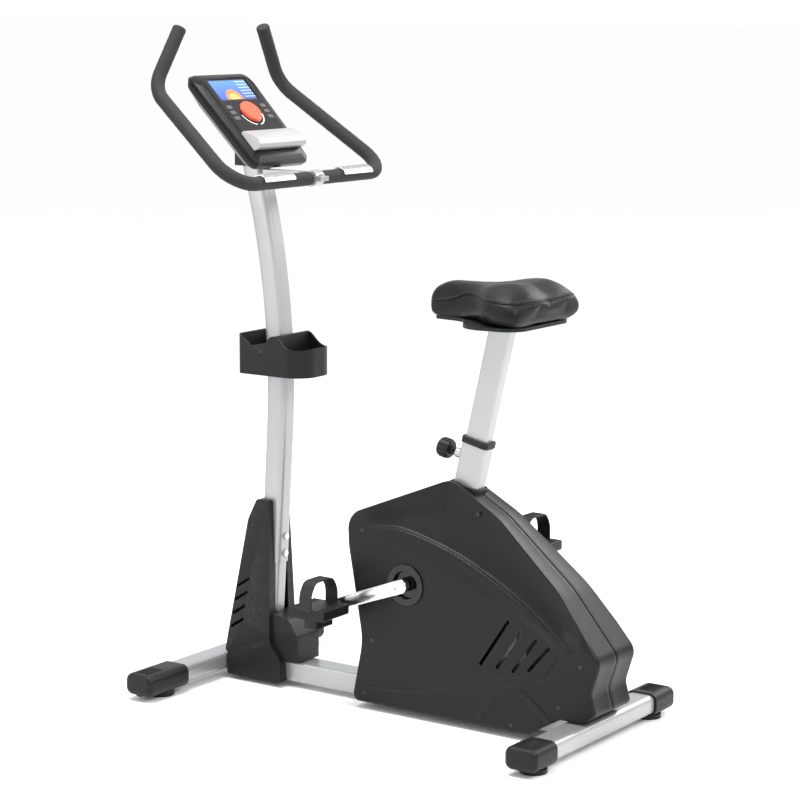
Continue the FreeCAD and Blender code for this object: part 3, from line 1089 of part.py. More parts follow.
# ---- fasteners ----------------------------------------------------------------------------
def frame_bolts():
    """Post bolts, clamp screws, roller pins and the idler's stud."""
    parts = []
    for z in POST_BOLT_Z:
        x = post_x(z) - FPOST_D / 2 - POST_BOLT_T - POST_BOLT_GAP
        parts.append(rod((x, 0, z), (1, 0, 0), POST_BOLT_R, POST_BOLT_T))
    for x in (-CLAMP_SCREW, CLAMP_SCREW):
        start = (BAR_X + x, 0, BAR_Z - CLAMP_LUG_T)
        shank = rod(start, (0, 0, 1), SCREW_R - CAP_GAP / 2, 2 * CLAMP_LUG_T)
        head = rod((BAR_X + x, 0, BAR_Z + CLAMP_LUG_T), (0, 0, 1), SCREW_HEAD_R, SCREW_HEAD_T)
        parts.append(shank.fuse(head))
    parts += [roller_pin(), other_side(roller_pin()), idler_stud()]
    return Part.makeCompound(parts)


def cover_screws():
    """Self-tapping screws in the side walls of the casing."""
    screws = []
    for x, z in CASING_SCREWS:
        y0 = side_y(x, z) - CASING_SCREW_L
        length = CASING_SCREW_L + SCREW_PROUD
        screws.append(rod((x, y0, z), (0, 1, 0), CASING_SCREW_R - CAP_GAP, length))
    return both_sides(Part.makeCompound(screws))


# ---- write --------------------------------------------------------------------------------
def build():
    keep("main_beam", main_beam())
    keep("front_stabiliser", stabiliser(FRONT_STAB_X, FRONT_TUBE_HALF))
    keep("rear_stabiliser", stabiliser(REAR_STAB_X, REAR_TUBE_HALF))
    keep("front_caps", front_caps())
    keep("rear_caps", rear_caps())
    keep("roller_left", roller())
    keep("roller_right", other_side(roller()))
    keep("level_foot_left", level_foot())
    keep("level_foot_right", other_side(level_foot()))
    keep("post_stub", post_stub())
    keep("upper_post", upper_post())
    shroud = largest_solid(shroud_half())
    keep("post_shroud_left", shroud)
    keep("post_shroud_right", other_side(shroud))
    keep("cup_holder", cup_holder())
    keep("handlebar_tube", handlebar_tube())
    keep("handlebar_foam", handlebar_foam())
    keep("pulse_sensors", pulse_sensors())
    keep("handlebar_clamp", handlebar_clamp())
    keep("clamp_cap", clamp_cap())
    keep("console_housing", console_housing())
    keep("console_face", console_face())
    keep("lcd_window", lcd_window())
    keep("dial", dial())
    keep("reading_rest", reading_rest())
    for number, (u, y) in enumerate(key_places(), 1):
        keep("key_%d" % number, key_piece(u, y))
    keep("seat_tube", seat_tube())
    keep("seat_tube_bush", seat_tube_bush())
    keep("seat_post", seat_post())
    keep("saddle_base", saddle_base())
    keep("saddle_cushion", saddle_cushion())
    keep("seat_knob", seat_knob())
    keep("casing_collar", casing_collar())
    left = casing_left()
    keep("casing_left", left)
    keep("casing_right", other_side(left))
    keep("hub_covers", hub_covers())
    keep("drive_frame", drive_frame())
    keep("crank_bearings", crank_bearings())
    keep("flywheel_axle", flywheel_axle())
    keep("flywheel", flywheel())
    keep("generator_stator", generator_stator())
    keep("controller_board", controller_board())
    keep("drive_pulley", drive_pulley())
    keep("drive_belt", drive_belt())
    keep("idler_arm", idler_arm())
    keep("idler_pulley", idler_pulley())
    keep("crank_axle", crank_axle())
    keep("crank_arm_left", crank_arm(1))
    keep("crank_arm_right", crank_arm(-1))
    keep("pedal_spindles", pedal_spindles())
    for name, side in (("left", 1), ("right", -1)):
        keep("pedal_" + name, pedal_body(side))
        keep("pedal_strap_" + name, pedal_strap(side))
    keep("frame_bolts", frame_bolts())
    keep("cover_screws", cover_screws())


build()
os.makedirs("parts", exist_ok=True)
for node, shape in PARTS.items():
    shape.exportStep("parts/%s.step" % node)
print(len(PARTS), "nodes")
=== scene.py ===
"""Exercise bike: the finished look of every visible piece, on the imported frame."""
import math

import bmesh
import bpy
import numpy as np
from bpy.props import (FloatProperty, FloatVectorProperty, IntProperty, PointerProperty)
from mathutils import Matrix, Vector
from mathutils.bvhtree import BVHTree
from mathutils.geometry import delaunay_2d_cdt
from mathutils.kdtree import KDTree


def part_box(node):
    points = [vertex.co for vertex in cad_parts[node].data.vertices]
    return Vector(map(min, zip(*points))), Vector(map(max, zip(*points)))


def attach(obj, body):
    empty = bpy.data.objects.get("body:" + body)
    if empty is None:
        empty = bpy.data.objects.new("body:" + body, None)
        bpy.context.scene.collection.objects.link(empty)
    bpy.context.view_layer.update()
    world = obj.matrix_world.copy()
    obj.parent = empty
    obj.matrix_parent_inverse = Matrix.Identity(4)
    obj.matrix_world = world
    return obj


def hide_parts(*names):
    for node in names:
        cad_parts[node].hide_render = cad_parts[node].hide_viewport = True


bl_info = {
    "name": "Exercise bike",
    "version": (1, 0, 0),
    "blender": (4, 5, 0),
    "location": "3D View > Sidebar > Bike",
    "description": "Builds the finished pieces of an upright exercise bike on its packed frame",
    "category": "Object",
}

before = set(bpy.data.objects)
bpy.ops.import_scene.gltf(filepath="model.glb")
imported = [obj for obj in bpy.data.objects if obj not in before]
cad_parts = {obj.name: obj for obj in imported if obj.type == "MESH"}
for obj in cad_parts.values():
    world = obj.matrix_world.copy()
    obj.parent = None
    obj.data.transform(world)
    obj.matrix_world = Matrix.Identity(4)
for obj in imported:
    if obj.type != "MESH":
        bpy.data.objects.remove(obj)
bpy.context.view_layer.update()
MM = 0.001


# ---- sizes and colours a user may change --------------------------------------------------
def colour_prop(name, description, value):
    return FloatVectorProperty(name=name, description=description, subtype="COLOR", size=3,
                               min=0.0, max=1.0, default=value)


def length_prop(name, description, value):
    return FloatProperty(name=name, description=description, default=value, min=0.0,
                         unit="LENGTH", precision=4)


class BikeSizes(bpy.types.PropertyGroup):
    casing_step: length_prop("Casing step", "Spacing of the casing's surface points", 0.0034)
    ridge: length_prop("Ridge", "Height of the raised line on the casing's side", 0.0038)
    scoop: length_prop("Scoop", "Depth of the hollow above the raised line", 0.0095)
    groove: length_prop("Groove", "Depth of the line cut in the casing's side", 0.0018)
    foam: length_prop("Foam", "Radius of the handlebar foam", 0.0143)
    voxel: length_prop("Voxel", "Grid of the saddle's remesh", 0.005)
    swell: length_prop("Swell", "How far the saddle's padding may swell", 0.008)
    stitch: length_prop("Stitch", "Spacing of the saddle's stitches", 0.0052)
    ribs: IntProperty(name="Ribs", description="Grip ribs on an end cap", default=13, min=2)


class BikeColours(bpy.types.PropertyGroup):
    paint: colour_prop("Paint", "Silver paint of the steel frame", (0.345, 0.352, 0.36))
    casing: colour_prop("Casing", "Moulded casing and covers", (0.0085, 0.0085, 0.0092))
    cap: colour_prop("Caps", "End caps, cup holder and knob", (0.0075, 0.0075, 0.008))
    console: colour_prop("Console", "Console housing", (0.006, 0.006, 0.0068))
    foam: colour_prop("Foam", "Handlebar foam", (0.022, 0.022, 0.023))
    vinyl: colour_prop("Vinyl", "Saddle cover", (0.0052, 0.0051, 0.0053))
    dial: colour_prop("Dial", "Resistance dial", (0.80, 0.085, 0.035))
    rest: colour_prop("Rest", "Reading rest", (0.30, 0.30, 0.295))
    floor: colour_prop("Floor", "Studio floor", (0.96, 0.96, 0.96))


def sizes():
    return bpy.context.scene.bike_sizes


def colours():
    return bpy.context.scene.bike_colours


# ---- shader helpers -----------------------------------------------------------------------
def add_node(tree, kind, settings=None, **values):
    """A node with its settings, and its inputs set or linked by name."""
    node = tree.nodes.new(kind)
    for key, value in (settings or {}).items():
        setattr(node, key, value)
    for key, value in values.items():
        name = int(key[1:]) if key[1:].isdigit() else key.replace("_", " ")
        socket = node.inputs[name]
        if isinstance(value, bpy.types.NodeSocket):
            tree.links.new(value, socket)
        else:
            socket.default_value = value
    return node


def math_node(tree, operation, a, b=0.0, clamp=False):
    return add_node(tree, "ShaderNodeMath", {"operation": operation, "use_clamp": clamp},
                    i0=a, i1=b).outputs[0]


def mix_node(tree, factor, first, second):
    """A colour that goes from the first to the second by the factor."""
    return add_node(tree, "ShaderNodeMix", {"data_type": "RGBA"}, i0=factor, i6=first,
                    i7=second).outputs[2]


def group_node(tree, group, **values):
    """A shader group placed in a material with its own values."""
    node = tree.nodes.new("ShaderNodeGroup")
    node.node_tree = group
    for key, value in values.items():
        node.inputs[key.replace("_", " ")].default_value = value
    return node


def group_tree(name, inputs, outputs):
    """An empty shader group with (name, type, default) inputs and (name, type) outputs."""
    tree = bpy.data.node_groups.new(name, "ShaderNodeTree")
    for label, kind, default in inputs:
        socket = tree.interface.new_socket(name=label, in_out="INPUT", socket_type=kind)
        socket.default_value = default
    for label, kind in outputs:
        tree.interface.new_socket(name=label, in_out="OUTPUT", socket_type=kind)
    source = tree.nodes.new("NodeGroupInput")
    sink = tree.nodes.new("NodeGroupOutput")
    return tree, source.outputs, sink.inputs


def surface_group():
    """Moulded or painted surface: mottled colour, pebbled grain, dust and uneven gloss."""
    if "Surface" in bpy.data.node_groups:
        return bpy.data.node_groups["Surface"]
    number, rgb = "NodeSocketFloat", "NodeSocketColor"
    tree, given, out = group_tree("Surface", [
        ("Colour", rgb, (0.5, 0.5, 0.5, 1.0)), ("Roughness", number, 0.5),
        ("Grain scale", number, 1500.0), ("Grain depth", number, 0.5), ("Mottle", number, 0.1),
        ("Dust", number, 0.1), ("Gloss spread", number, 0.1), ("Wave depth", number, 0.2)],
        [("Colour", rgb), ("Roughness", number), ("Height", number)])
    place = tree.nodes.new("ShaderNodeTexCoord").outputs["Object"]
    pebble = add_node(tree, "ShaderNodeTexVoronoi", {"feature": "SMOOTH_F1"}, Vector=place,
                      Scale=given["Grain scale"], Smoothness=0.6).outputs["Distance"]
    fine_scale = math_node(tree, "MULTIPLY", given["Grain scale"], 1.7)
    fine = add_node(tree, "ShaderNodeTexNoise", None, Vector=place, Scale=fine_scale,
                    Detail=2.0).outputs["Fac"]
    broad = add_node(tree, "ShaderNodeTexNoise", None, Vector=place, Scale=7.0, Detail=3.0,
                     Roughness=0.55).outputs["Fac"]
    cloud = add_node(tree, "ShaderNodeTexNoise", None, Vector=place, Scale=46.0, Detail=5.0,
                     Roughness=0.65).outputs["Fac"]
    ripple = add_node(tree, "ShaderNodeTexNoise", None, Vector=place, Scale=150.0,
                      Detail=1.0).outputs["Fac"]
    # Facing up collects dust, broken by the cloud
    up = add_node(tree, "ShaderNodeSeparateXYZ", None,
                  Vector=tree.nodes.new("ShaderNodeNewGeometry").outputs["Normal"]).outputs["Z"]
    level = add_node(tree, "ShaderNodeMapRange", {"interpolation_type": "SMOOTHSTEP"}, Value=up,
                     From_Min=0.25, From_Max=1.0, To_Min=0.0, To_Max=1.0).outputs[0]
    dust = math_node(tree, "MULTIPLY", math_node(tree, "MULTIPLY", level, cloud), given["Dust"])
    shade = math_node(tree, "MULTIPLY", math_node(tree, "SUBTRACT", broad, 0.5), given["Mottle"])
    fleck = math_node(tree, "MULTIPLY", math_node(tree, "SUBTRACT", fine, 0.5), given["Mottle"])
    factor = math_node(tree, "ADD", math_node(tree, "ADD", shade, fleck), 1.0)
    toned = add_node(tree, "ShaderNodeVectorMath", {"operation": "SCALE"},
                     Vector=given["Colour"], Scale=factor).outputs[0]
    mixed = mix_node(tree, dust, toned, (0.20, 0.195, 0.19, 1.0))
    tree.links.new(mixed, out["Colour"])
    spread = math_node(tree, "MULTIPLY", math_node(tree, "SUBTRACT", cloud, 0.5),
                       given["Gloss spread"])
    rough = math_node(tree, "ADD", math_node(tree, "ADD", given["Roughness"], spread), dust, True)
    tree.links.new(rough, out["Roughness"])
    grain = math_node(tree, "ADD", pebble, math_node(tree, "MULTIPLY", fine, 0.4))
    height = math_node(tree, "ADD", math_node(tree, "MULTIPLY", grain, given["Grain depth"]),
                       math_node(tree, "MULTIPLY", ripple, given["Wave depth"]))
    tree.links.new(height, out["Height"])
    return tree


def wear_group():
    """Rubbed edges: convex edges brighten where a broken noise lets them."""
    if "Edge wear" in bpy.data.node_groups:
        return bpy.data.node_groups["Edge wear"]
    number, rgb = "NodeSocketFloat", "NodeSocketColor"
    tree, given, out = group_tree("Edge wear", [
        ("Colour", rgb, (0.5, 0.5, 0.5, 1.0)), ("Worn colour", rgb, (0.7, 0.7, 0.7, 1.0)),
        ("Roughness", number, 0.5), ("Amount", number, 0.3)],
        [("Colour", rgb), ("Roughness", number)])
    geometry = tree.nodes.new("ShaderNodeNewGeometry")
    place = tree.nodes.new("ShaderNodeTexCoord").outputs["Object"]
    broken = add_node(tree, "ShaderNodeTexNoise", None, Vector=place, Scale=90.0, Detail=6.0,
                      Roughness=0.7).outputs["Fac"]
    edge = add_node(tree, "ShaderNodeMapRange", None, Value=geometry.outputs["Pointiness"],
                    From_Min=0.515, From_Max=0.62, To_Min=0.0, To_Max=1.0).outputs[0]
    chance = add_node(tree, "ShaderNodeMapRange", None, Value=broken, From_Min=0.42, From_Max=0.62,
                      To_Min=0.25, To_Max=1.0).outputs[0]
    mask = math_node(tree, "MULTIPLY", math_node(tree, "MULTIPLY", edge, chance), given["Amount"],
                     True)
    mixed = mix_node(tree, mask, given["Colour"], given["Worn colour"])
    tree.links.new(mixed, out["Colour"])
    lower = math_node(tree, "MULTIPLY", mask, 0.12)
    tree.links.new(math_node(tree, "SUBTRACT", given["Roughness"], lower, True), out["Roughness"])
    return tree


def brushed_group():
    """Drawn or turned metal: fine streaks along one direction."""
    if "Brushed" in bpy.data.node_groups:
        return bpy.data.node_groups["Brushed"]
    number, rgb, vector = "NodeSocketFloat", "NodeSocketColor", "NodeSocketVector"
    tree, given, out = group_tree("Brushed", [
        ("Colour", rgb, (0.7, 0.7, 0.7, 1.0)), ("Roughness", number, 0.3),
        ("Streaks", vector, (40.0, 900.0, 900.0)), ("Stain", number, 0.15)],
        [("Colour", rgb), ("Roughness", number), ("Height", number)])
    place = tree.nodes.new("ShaderNodeTexCoord").outputs["Object"]
    along = add_node(tree, "ShaderNodeVectorMath", {"operation": "MULTIPLY"}, i0=place,
                     i1=given["Streaks"]).outputs[0]
    streak = add_node(tree, "ShaderNodeTexNoise", None, Vector=along, Scale=1.0,
                      Detail=4.0).outputs["Fac"]
    cloud = add_node(tree, "ShaderNodeTexNoise", None, Vector=place, Scale=30.0, Detail=5.0,
                     Roughness=0.7).outputs["Fac"]
    stain = math_node(tree, "MULTIPLY", math_node(tree, "SUBTRACT", cloud, 0.5), given["Stain"])
    factor = math_node(tree, "ADD", math_node(tree, "ADD", stain, 0.9),
                       math_node(tree, "MULTIPLY", streak, 0.2))
    toned = add_node(tree, "ShaderNodeVectorMath", {"operation": "SCALE"},
                     Vector=given["Colour"], Scale=factor).outputs[0]
    tree.links.new(toned, out["Colour"])
    rough = math_node(tree, "ADD", given["Roughness"],
                      math_node(tree, "MULTIPLY", math_node(tree, "SUBTRACT", streak, 0.5), 0.22))
    tree.links.new(math_node(tree, "ADD", rough, math_node(tree, "ABSOLUTE", stain), True),
                   out["Roughness"])
    tree.links.new(streak, out["Height"])
    return tree


def new_material(name):
    """An empty material with its Principled shader, or the one already made."""
    material = bpy.data.materials.get(name)
    if material is not None:
        return material, None, None
    material = bpy.data.materials.new(name)
    material.use_nodes = True
    tree = material.node_tree
    tree.nodes.clear()
    shader = tree.nodes.new("ShaderNodeBsdfPrincipled")
    output = tree.nodes.new("ShaderNodeOutputMaterial")
    tree.links.new(shader.outputs[0], output.inputs["Surface"])
    return material, tree, shader


def add_bump(tree, shader, height, strength, distance):
    bump = add_node(tree, "ShaderNodeBump", None, Height=height, Strength=strength,
                    Distance=distance)
    tree.links.new(bump.outputs[0], shader.inputs["Normal"])


def moulded(name, colour, roughness, scale=1500.0, depth=0.5, mottle=0.12, dust=0.08, spread=0.12,
            wave=0.25, wear=0.25, bump=0.00012, metallic=0.0, coat=0.0, worn=None, shine=0.5):
    """A plastic, rubber, vinyl or painted finish."""
    material, tree, shader = new_material(name)
    if tree is None:
        return material
    surface = group_node(tree, surface_group(), Colour=(*colour, 1.0), Roughness=roughness,
                         Grain_scale=scale, Grain_depth=depth, Mottle=mottle, Dust=dust,
                         Gloss_spread=spread, Wave_depth=wave)
    rubbed = worn or [min(1.0, c * 2.2 + 0.02) for c in colour]
    edge = group_node(tree, wear_group(), Amount=wear, Worn_colour=(*rubbed, 1.0))
    tree.links.new(surface.outputs["Colour"], edge.inputs["Colour"])
    tree.links.new(surface.outputs["Roughness"], edge.inputs["Roughness"])
    tree.links.new(edge.outputs["Colour"], shader.inputs["Base Color"])
    tree.links.new(edge.outputs["Roughness"], shader.inputs["Roughness"])
    shader.inputs["Metallic"].default_value = metallic
    shader.inputs["Coat Weight"].default_value = coat
    shader.inputs["Coat Roughness"].default_value = 0.12
    shader.inputs["Specular IOR Level"].default_value = shine
    add_bump(tree, shader, surface.outputs["Height"], 1.0, bump)
    return material


def metal(name, colour, roughness, streaks, stain=0.15, bump=0.00002):
    """Bare or plated metal with streaks along the axis whose scale is small."""
    material, tree, shader = new_material(name)
    if tree is None:
        return material
    brushed = group_node(tree, brushed_group(), Colour=(*colour, 1.0), Roughness=roughness,
                         Streaks=streaks, Stain=stain)
    tree.links.new(brushed.outputs["Colour"], shader.inputs["Base Color"])
    tree.links.new(brushed.outputs["Roughness"], shader.inputs["Roughness"])
    shader.inputs["Metallic"].default_value = 1.0
    add_bump(tree, shader, brushed.outputs["Height"], 1.0, bump)
    return material


def silver_paint():
    return moulded("Silver paint", colours().paint, 0.36, scale=2600.0, depth=0.25, mottle=0.06,
                   dust=0.04, spread=0.10, wave=0.5, wear=0.15, bump=0.00004, metallic=0.55,
                   coat=0.2, worn=(0.7, 0.7, 0.7))


def casing_plastic():
    return moulded("Casing plastic", colours().casing, 0.37, scale=1400.0, depth=0.35, mottle=0.12,
                   dust=0.03, wave=0.4, wear=0.3, bump=0.00006, worn=(0.05, 0.05, 0.052),
                   shine=0.17)


def cap_plastic():
    return moulded("Cap plastic", colours().cap, 0.42, scale=1300.0, depth=0.5, dust=0.05,
                   bump=0.0001, worn=(0.045, 0.045, 0.047), shine=0.2)


def console_plastic():
    return moulded("Console plastic", colours().console, 0.30, scale=1900.0, depth=0.3, dust=0.02,
                   wear=0.0, bump=0.00005, shine=0.22)


def gloss_plastic():
    return moulded("Gloss plastic", (0.004, 0.004, 0.0045), 0.16, scale=900.0, depth=0.05,
                   mottle=0.06, dust=0.01, spread=0.06, wave=0.15, wear=0.0, bump=0.00001,
                   shine=0.35)


def foam_rubber():
    return moulded("Foam", colours().foam, 0.72, scale=950.0, depth=1.0, mottle=0.35, dust=0.06,
                   spread=0.10, wave=0.7, wear=0.0, bump=0.00032, shine=0.2)


def strap_rubber():
    return moulded("Strap rubber", (0.010, 0.010, 0.011), 0.50, scale=1100.0, depth=0.5,
                   mottle=0.2, dust=0.08, bump=0.00012, shine=0.25)


def chrome():
    return metal("Chrome", (0.80, 0.80, 0.81), 0.12, (300.0, 300.0, 300.0), 0.08)


def machined_steel():
    return metal("Machined steel", (0.58, 0.58, 0.59), 0.28, (500.0, 60.0, 500.0), 0.2)


def polished_arm():
    return metal("Polished arm", (0.72, 0.72, 0.73), 0.20, (60.0, 400.0, 200.0), 0.1)


def cast_wheel():
    return moulded("Cast wheel", (0.03, 0.03, 0.031), 0.6, scale=700.0, depth=1.0, metallic=0.8,
                   bump=0.0003)


# ---- mesh helpers -------------------------------------------------------------------------
def place_piece(obj, body, nodes=()):
    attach(obj, body)
    if nodes:
        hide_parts(*nodes)
    return obj


def mesh_piece(name, points, faces, material, sharp=38.0):
    """A smooth-shaded object from points in millimetres."""
    mesh = bpy.data.meshes.new(name)
    mesh.from_pydata([tuple(c * MM for c in p) for p in points], [], faces)
    mesh.validate()
    mesh.shade_smooth()
    mesh.set_sharp_from_angle(angle=math.radians(sharp))
    if material is not None:
        mesh.materials.append(material)
    obj = bpy.data.objects.new(name, mesh)
    bpy.context.scene.collection.objects.link(obj)
    return obj


def add_bevel(obj, width, segments=2, angle=32.0):
    bevel = obj.modifiers.new("Rounded edges", "BEVEL")
    bevel.width = width
    bevel.segments = segments
    bevel.limit_method = "ANGLE"
    bevel.angle_limit = math.radians(angle)
    bevel.harden_normals = True
    bevel.miter_outer = "MITER_ARC"


def merged_copy(node, facet=0.4):
    """A CAD node's mesh with its points merged and its flat faces whole."""
    work = bmesh.new()
    work.from_mesh(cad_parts[node].data)
    bmesh.ops.remove_doubles(work, verts=work.verts, dist=2e-6)
    bmesh.ops.dissolve_limit(work, angle_limit=math.radians(facet), verts=work.verts,
                             edges=work.edges)
    return work


def copy_piece(name, node, material, width, segments=2, sharp=38.0, facet=0.4):
    """A finished piece with a CAD node's shape: merged, rounded and smooth-shaded."""
    work = merged_copy(node, facet)
    mesh = bpy.data.meshes.new(name)
    work.to_mesh(mesh)
    work.free()
    mesh.shade_smooth()
    mesh.set_sharp_from_angle(angle=math.radians(sharp))
    mesh.materials.clear()
    mesh.materials.append(material)
    for polygon in mesh.polygons:
        polygon.material_index = 0
    obj = bpy.data.objects.new(name, mesh)
    bpy.context.scene.collection.objects.link(obj)
    if width > 0:
        add_bevel(obj, width, segments)
    return obj


def lofted(name, rings, material, ends=True, sharp=38.0, closed=True):
    """Skins rings of equally many points, in millimetres."""
    count = len(rings[0])
    points = [tuple(p) for ring in rings for p in ring]
    faces = []
    span = count if closed else count - 1
    for i in range(len(rings) - 1):
        for j in range(span):
            a, b = i * count + j, i * count + (j + 1) % count
            faces.append((a, b, b + count, a + count))
    if ends:
        faces.append(tuple(range(count - 1, -1, -1)))
        last = (len(rings) - 1) * count
        faces.append(tuple(range(last, last + count)))
    obj = mesh_piece(name, points, faces, material, sharp)
    work = bmesh.new()
    work.from_mesh(obj.data)
    bmesh.ops.remove_doubles(work, verts=work.verts, dist=1e-7)
    bmesh.ops.recalc_face_normals(work, faces=work.faces)
    work.to_mesh(obj.data)
    work.free()
    return obj


def turned(name, origin, axis, profile, material, count=64, sharp=38.0, ends=True):
    """A turned piece: profile is (radius, distance along the axis), in millimetres."""
    axis = Vector(axis).normalized()
    side = axis.orthogonal().normalized()
    other = axis.cross(side)
    rings = []
    for radius, along in profile:
        centre = Vector(origin) + axis * along
        rings.append([centre + (side * math.cos(t) + other * math.sin(t)) * max(radius, 0.01)
                      for t in (math.tau * k / count for k in range(count))])
    return lofted(name, rings, material, ends, sharp)


def smooth_path(points, spacing):
    """A Catmull-Rom line through points, resampled evenly."""
    pts = [Vector(p) for p in points]
    dense = []
    for i in range(len(pts) - 1):
        a, b, c, d = pts[max(i - 1, 0)], pts[i], pts[i + 1], pts[min(i + 2, len(pts) - 1)]
        for k in range(12):
            t = k / 12
            dense.append(0.5 * ((2 * b) + (c - a) * t + (2 * a - 5 * b + 4 * c - d) * t * t
                                + (3 * b - a - 3 * c + d) * t ** 3))
    dense.append(pts[-1])
    return resampled(dense, spacing, False)


def resampled(points, spacing, closed):
    """Evenly spaced points along a line."""
    pts = list(points) + ([points[0]] if closed else [])
    lengths = [0.0]
    for a, b in zip(pts, pts[1:]):
        lengths.append(lengths[-1] + (b - a).length)
    count = max(2, round(lengths[-1] / spacing))
    result, k = [], 0
    for i in range(count + (0 if closed else 1)):
        want = lengths[-1] * i / count
        while k < len(pts) - 2 and lengths[k + 1] < want:
            k += 1
        span = lengths[k + 1] - lengths[k]
        result.append(pts[k].lerp(pts[k + 1], (want - lengths[k]) / span if span > 0 else 0.0))
    return result


def rounded(corners, step):
    """Lines joined by arcs as points; each corner is (a, b, radius)."""
    result = []
    count = len(corners)
    for i, (a, b, radius) in enumerate(corners):
        point = Vector((a, b))
        if radius <= 0:
            result.append(point)
            continue
        back = (Vector(corners[i - 1][:2]) - point).normalized()
        ahead = (Vector(corners[(i + 1) % count][:2]) - point).normalized()
        half = back.angle(ahead) / 2
        reach = radius / math.tan(half)
        centre = point + (back + ahead).normalized() * (radius / math.sin(half))
        start, end = point + back * reach - centre, point + ahead * reach - centre
        turn = start.angle_signed(end)
        parts = max(2, round(abs(turn) * radius / step))
        base = math.atan2(start.y, start.x)
        for k in range(parts + 1):
            t = base - turn * k / parts
            result.append(centre + Vector((math.cos(t), math.sin(t))) * radius)
    return result


def tube_rings(path, radius, count=24):
    """Circles square to a path, kept from twisting."""
    rings = []
    normal = None
    for i, point in enumerate(path):
        ahead = path[min(i + 1, len(path) - 1)] - path[max(i - 1, 0)]
        ahead.normalize()
        if normal is None:
            normal = ahead.orthogonal().normalized()
        normal = (normal - ahead * normal.dot(ahead)).normalized()
        side = ahead.cross(normal)
        size = radius(i / (len(path) - 1)) if callable(radius) else radius
        rings.append([point + (normal * math.cos(t) + side * math.sin(t)) * size
                      for t in (math.tau * k / count for k in range(count))])
    return rings


def smoothstep(low, high, value):
    t = np.clip((value - low) / (high - low), 0.0, 1.0)
    return t * t * (3 - 2 * t)


def line_distance(points, line, closed=False):
    """Distance from each point to a polyline, with the side and the share along it."""
    pts = np.asarray(points, float)
    line = np.asarray([tuple(p)[:2] for p in line], float)
    ends = np.roll(line, -1, axis=0) if closed else line[1:]
    starts = line if closed else line[:-1]
    best = np.full(len(pts), 1e9)
    side = np.zeros(len(pts))
    share = np.zeros(len(pts))
    lengths = np.linalg.norm(ends - starts, axis=1)
    before = np.concatenate([[0.0], np.cumsum(lengths)[:-1]])
    total = lengths.sum()
    for a, b, length, done in zip(starts, ends, lengths, before):
        run = (b - a) / max(length, 1e-9)
        rel = pts - a
        t = np.clip(rel @ run, 0.0, length)
        off = rel - t[:, None] * run
        dist = np.hypot(off[:, 0], off[:, 1])
        near = dist < best
        best = np.where(near, dist, best)
        turn = run[0] * rel[:, 1] - run[1] * rel[:, 0]
        side = np.where(near, np.sign(turn), side)
        share = np.where(near, (done + t) / total, share)
    return best, side, share


def inside(points, loop):
    """Which points lie in a closed loop."""
    pts = np.asarray(points, float)
    loop = np.asarray([tuple(p) for p in loop], float)
    result = np.zeros(len(pts), bool)
    for a, b in zip(loop, np.roll(loop, -1, axis=0)):
        crosses = (a[1] > pts[:, 1]) != (b[1] > pts[:, 1])
        with np.errstate(divide="ignore", invalid="ignore"):
            at = (b[0] - a[0]) * (pts[:, 1] - a[1]) / (b[1] - a[1]) + a[0]
        result ^= crosses & (pts[:, 0] < at)
    return result


def grid_in(loop, holes, step, margin):
    """Staggered grid points inside a loop and clear of its holes."""
    xs = [p[0] for p in loop]
    ys = [p[1] for p in loop]
    rows = []
    row = 0
    y = min(ys)
    while y < max(ys):
        x = min(xs) + (step / 2 if row % 2 else 0)
        while x < max(xs):
            rows.append((x, y))
            x += step
        y += step * 0.866
        row += 1
    pts = np.array(rows)
    keep = inside(pts, loop) & (line_distance(pts, loop, True)[0] > margin)
    for hole in holes:
        keep &= ~inside(pts, hole) & (line_distance(pts, hole, True)[0] > step * 0.5)
    return [tuple(p) for p in pts[keep]]


def triangulated(loop, holes, extra):
    """Flat points and triangles that fill a loop, less its holes."""
    points = [Vector(p) for p in loop]
    edges = [(i, (i + 1) % len(loop)) for i in range(len(loop))]
    for hole in holes:
        base = len(points)
        points += [Vector(p) for p in hole]
        edges += [(base + i, base + (i + 1) % len(hole)) for i in range(len(hole))]
    points += [Vector(p) for p in extra]
    made = delaunay_2d_cdt(points, edges, [], 0, 1e-4)
    flat, tris = made[0], made[2]
    tris = [t for t in tris if len(t) == 3]
    middles = np.array([[sum(flat[i][k] for i in t) / 3 for k in (0, 1)] for t in tris])
    keep = inside(middles, loop)
    for hole in holes:
        keep &= ~inside(middles, hole)
    return flat, [t for t, k in zip(tris, keep) if k]


def boundary_loops(faces):
    """The directed open edges of a set of faces."""
    seen = {}
    for face in faces:
        for a, b in zip(face, face[1:] + face[:1]):
            seen[(a, b)] = True
    return [(a, b) for a, b in seen if (b, a) not in seen]


def baked(obj):
    """Turns an object with modifiers into a plain one."""
    graph = bpy.context.evaluated_depsgraph_get()
    mesh = bpy.data.meshes.new_from_object(obj.evaluated_get(graph), depsgraph=graph)
    obj.modifiers.clear()
    obj.data = mesh
    return obj


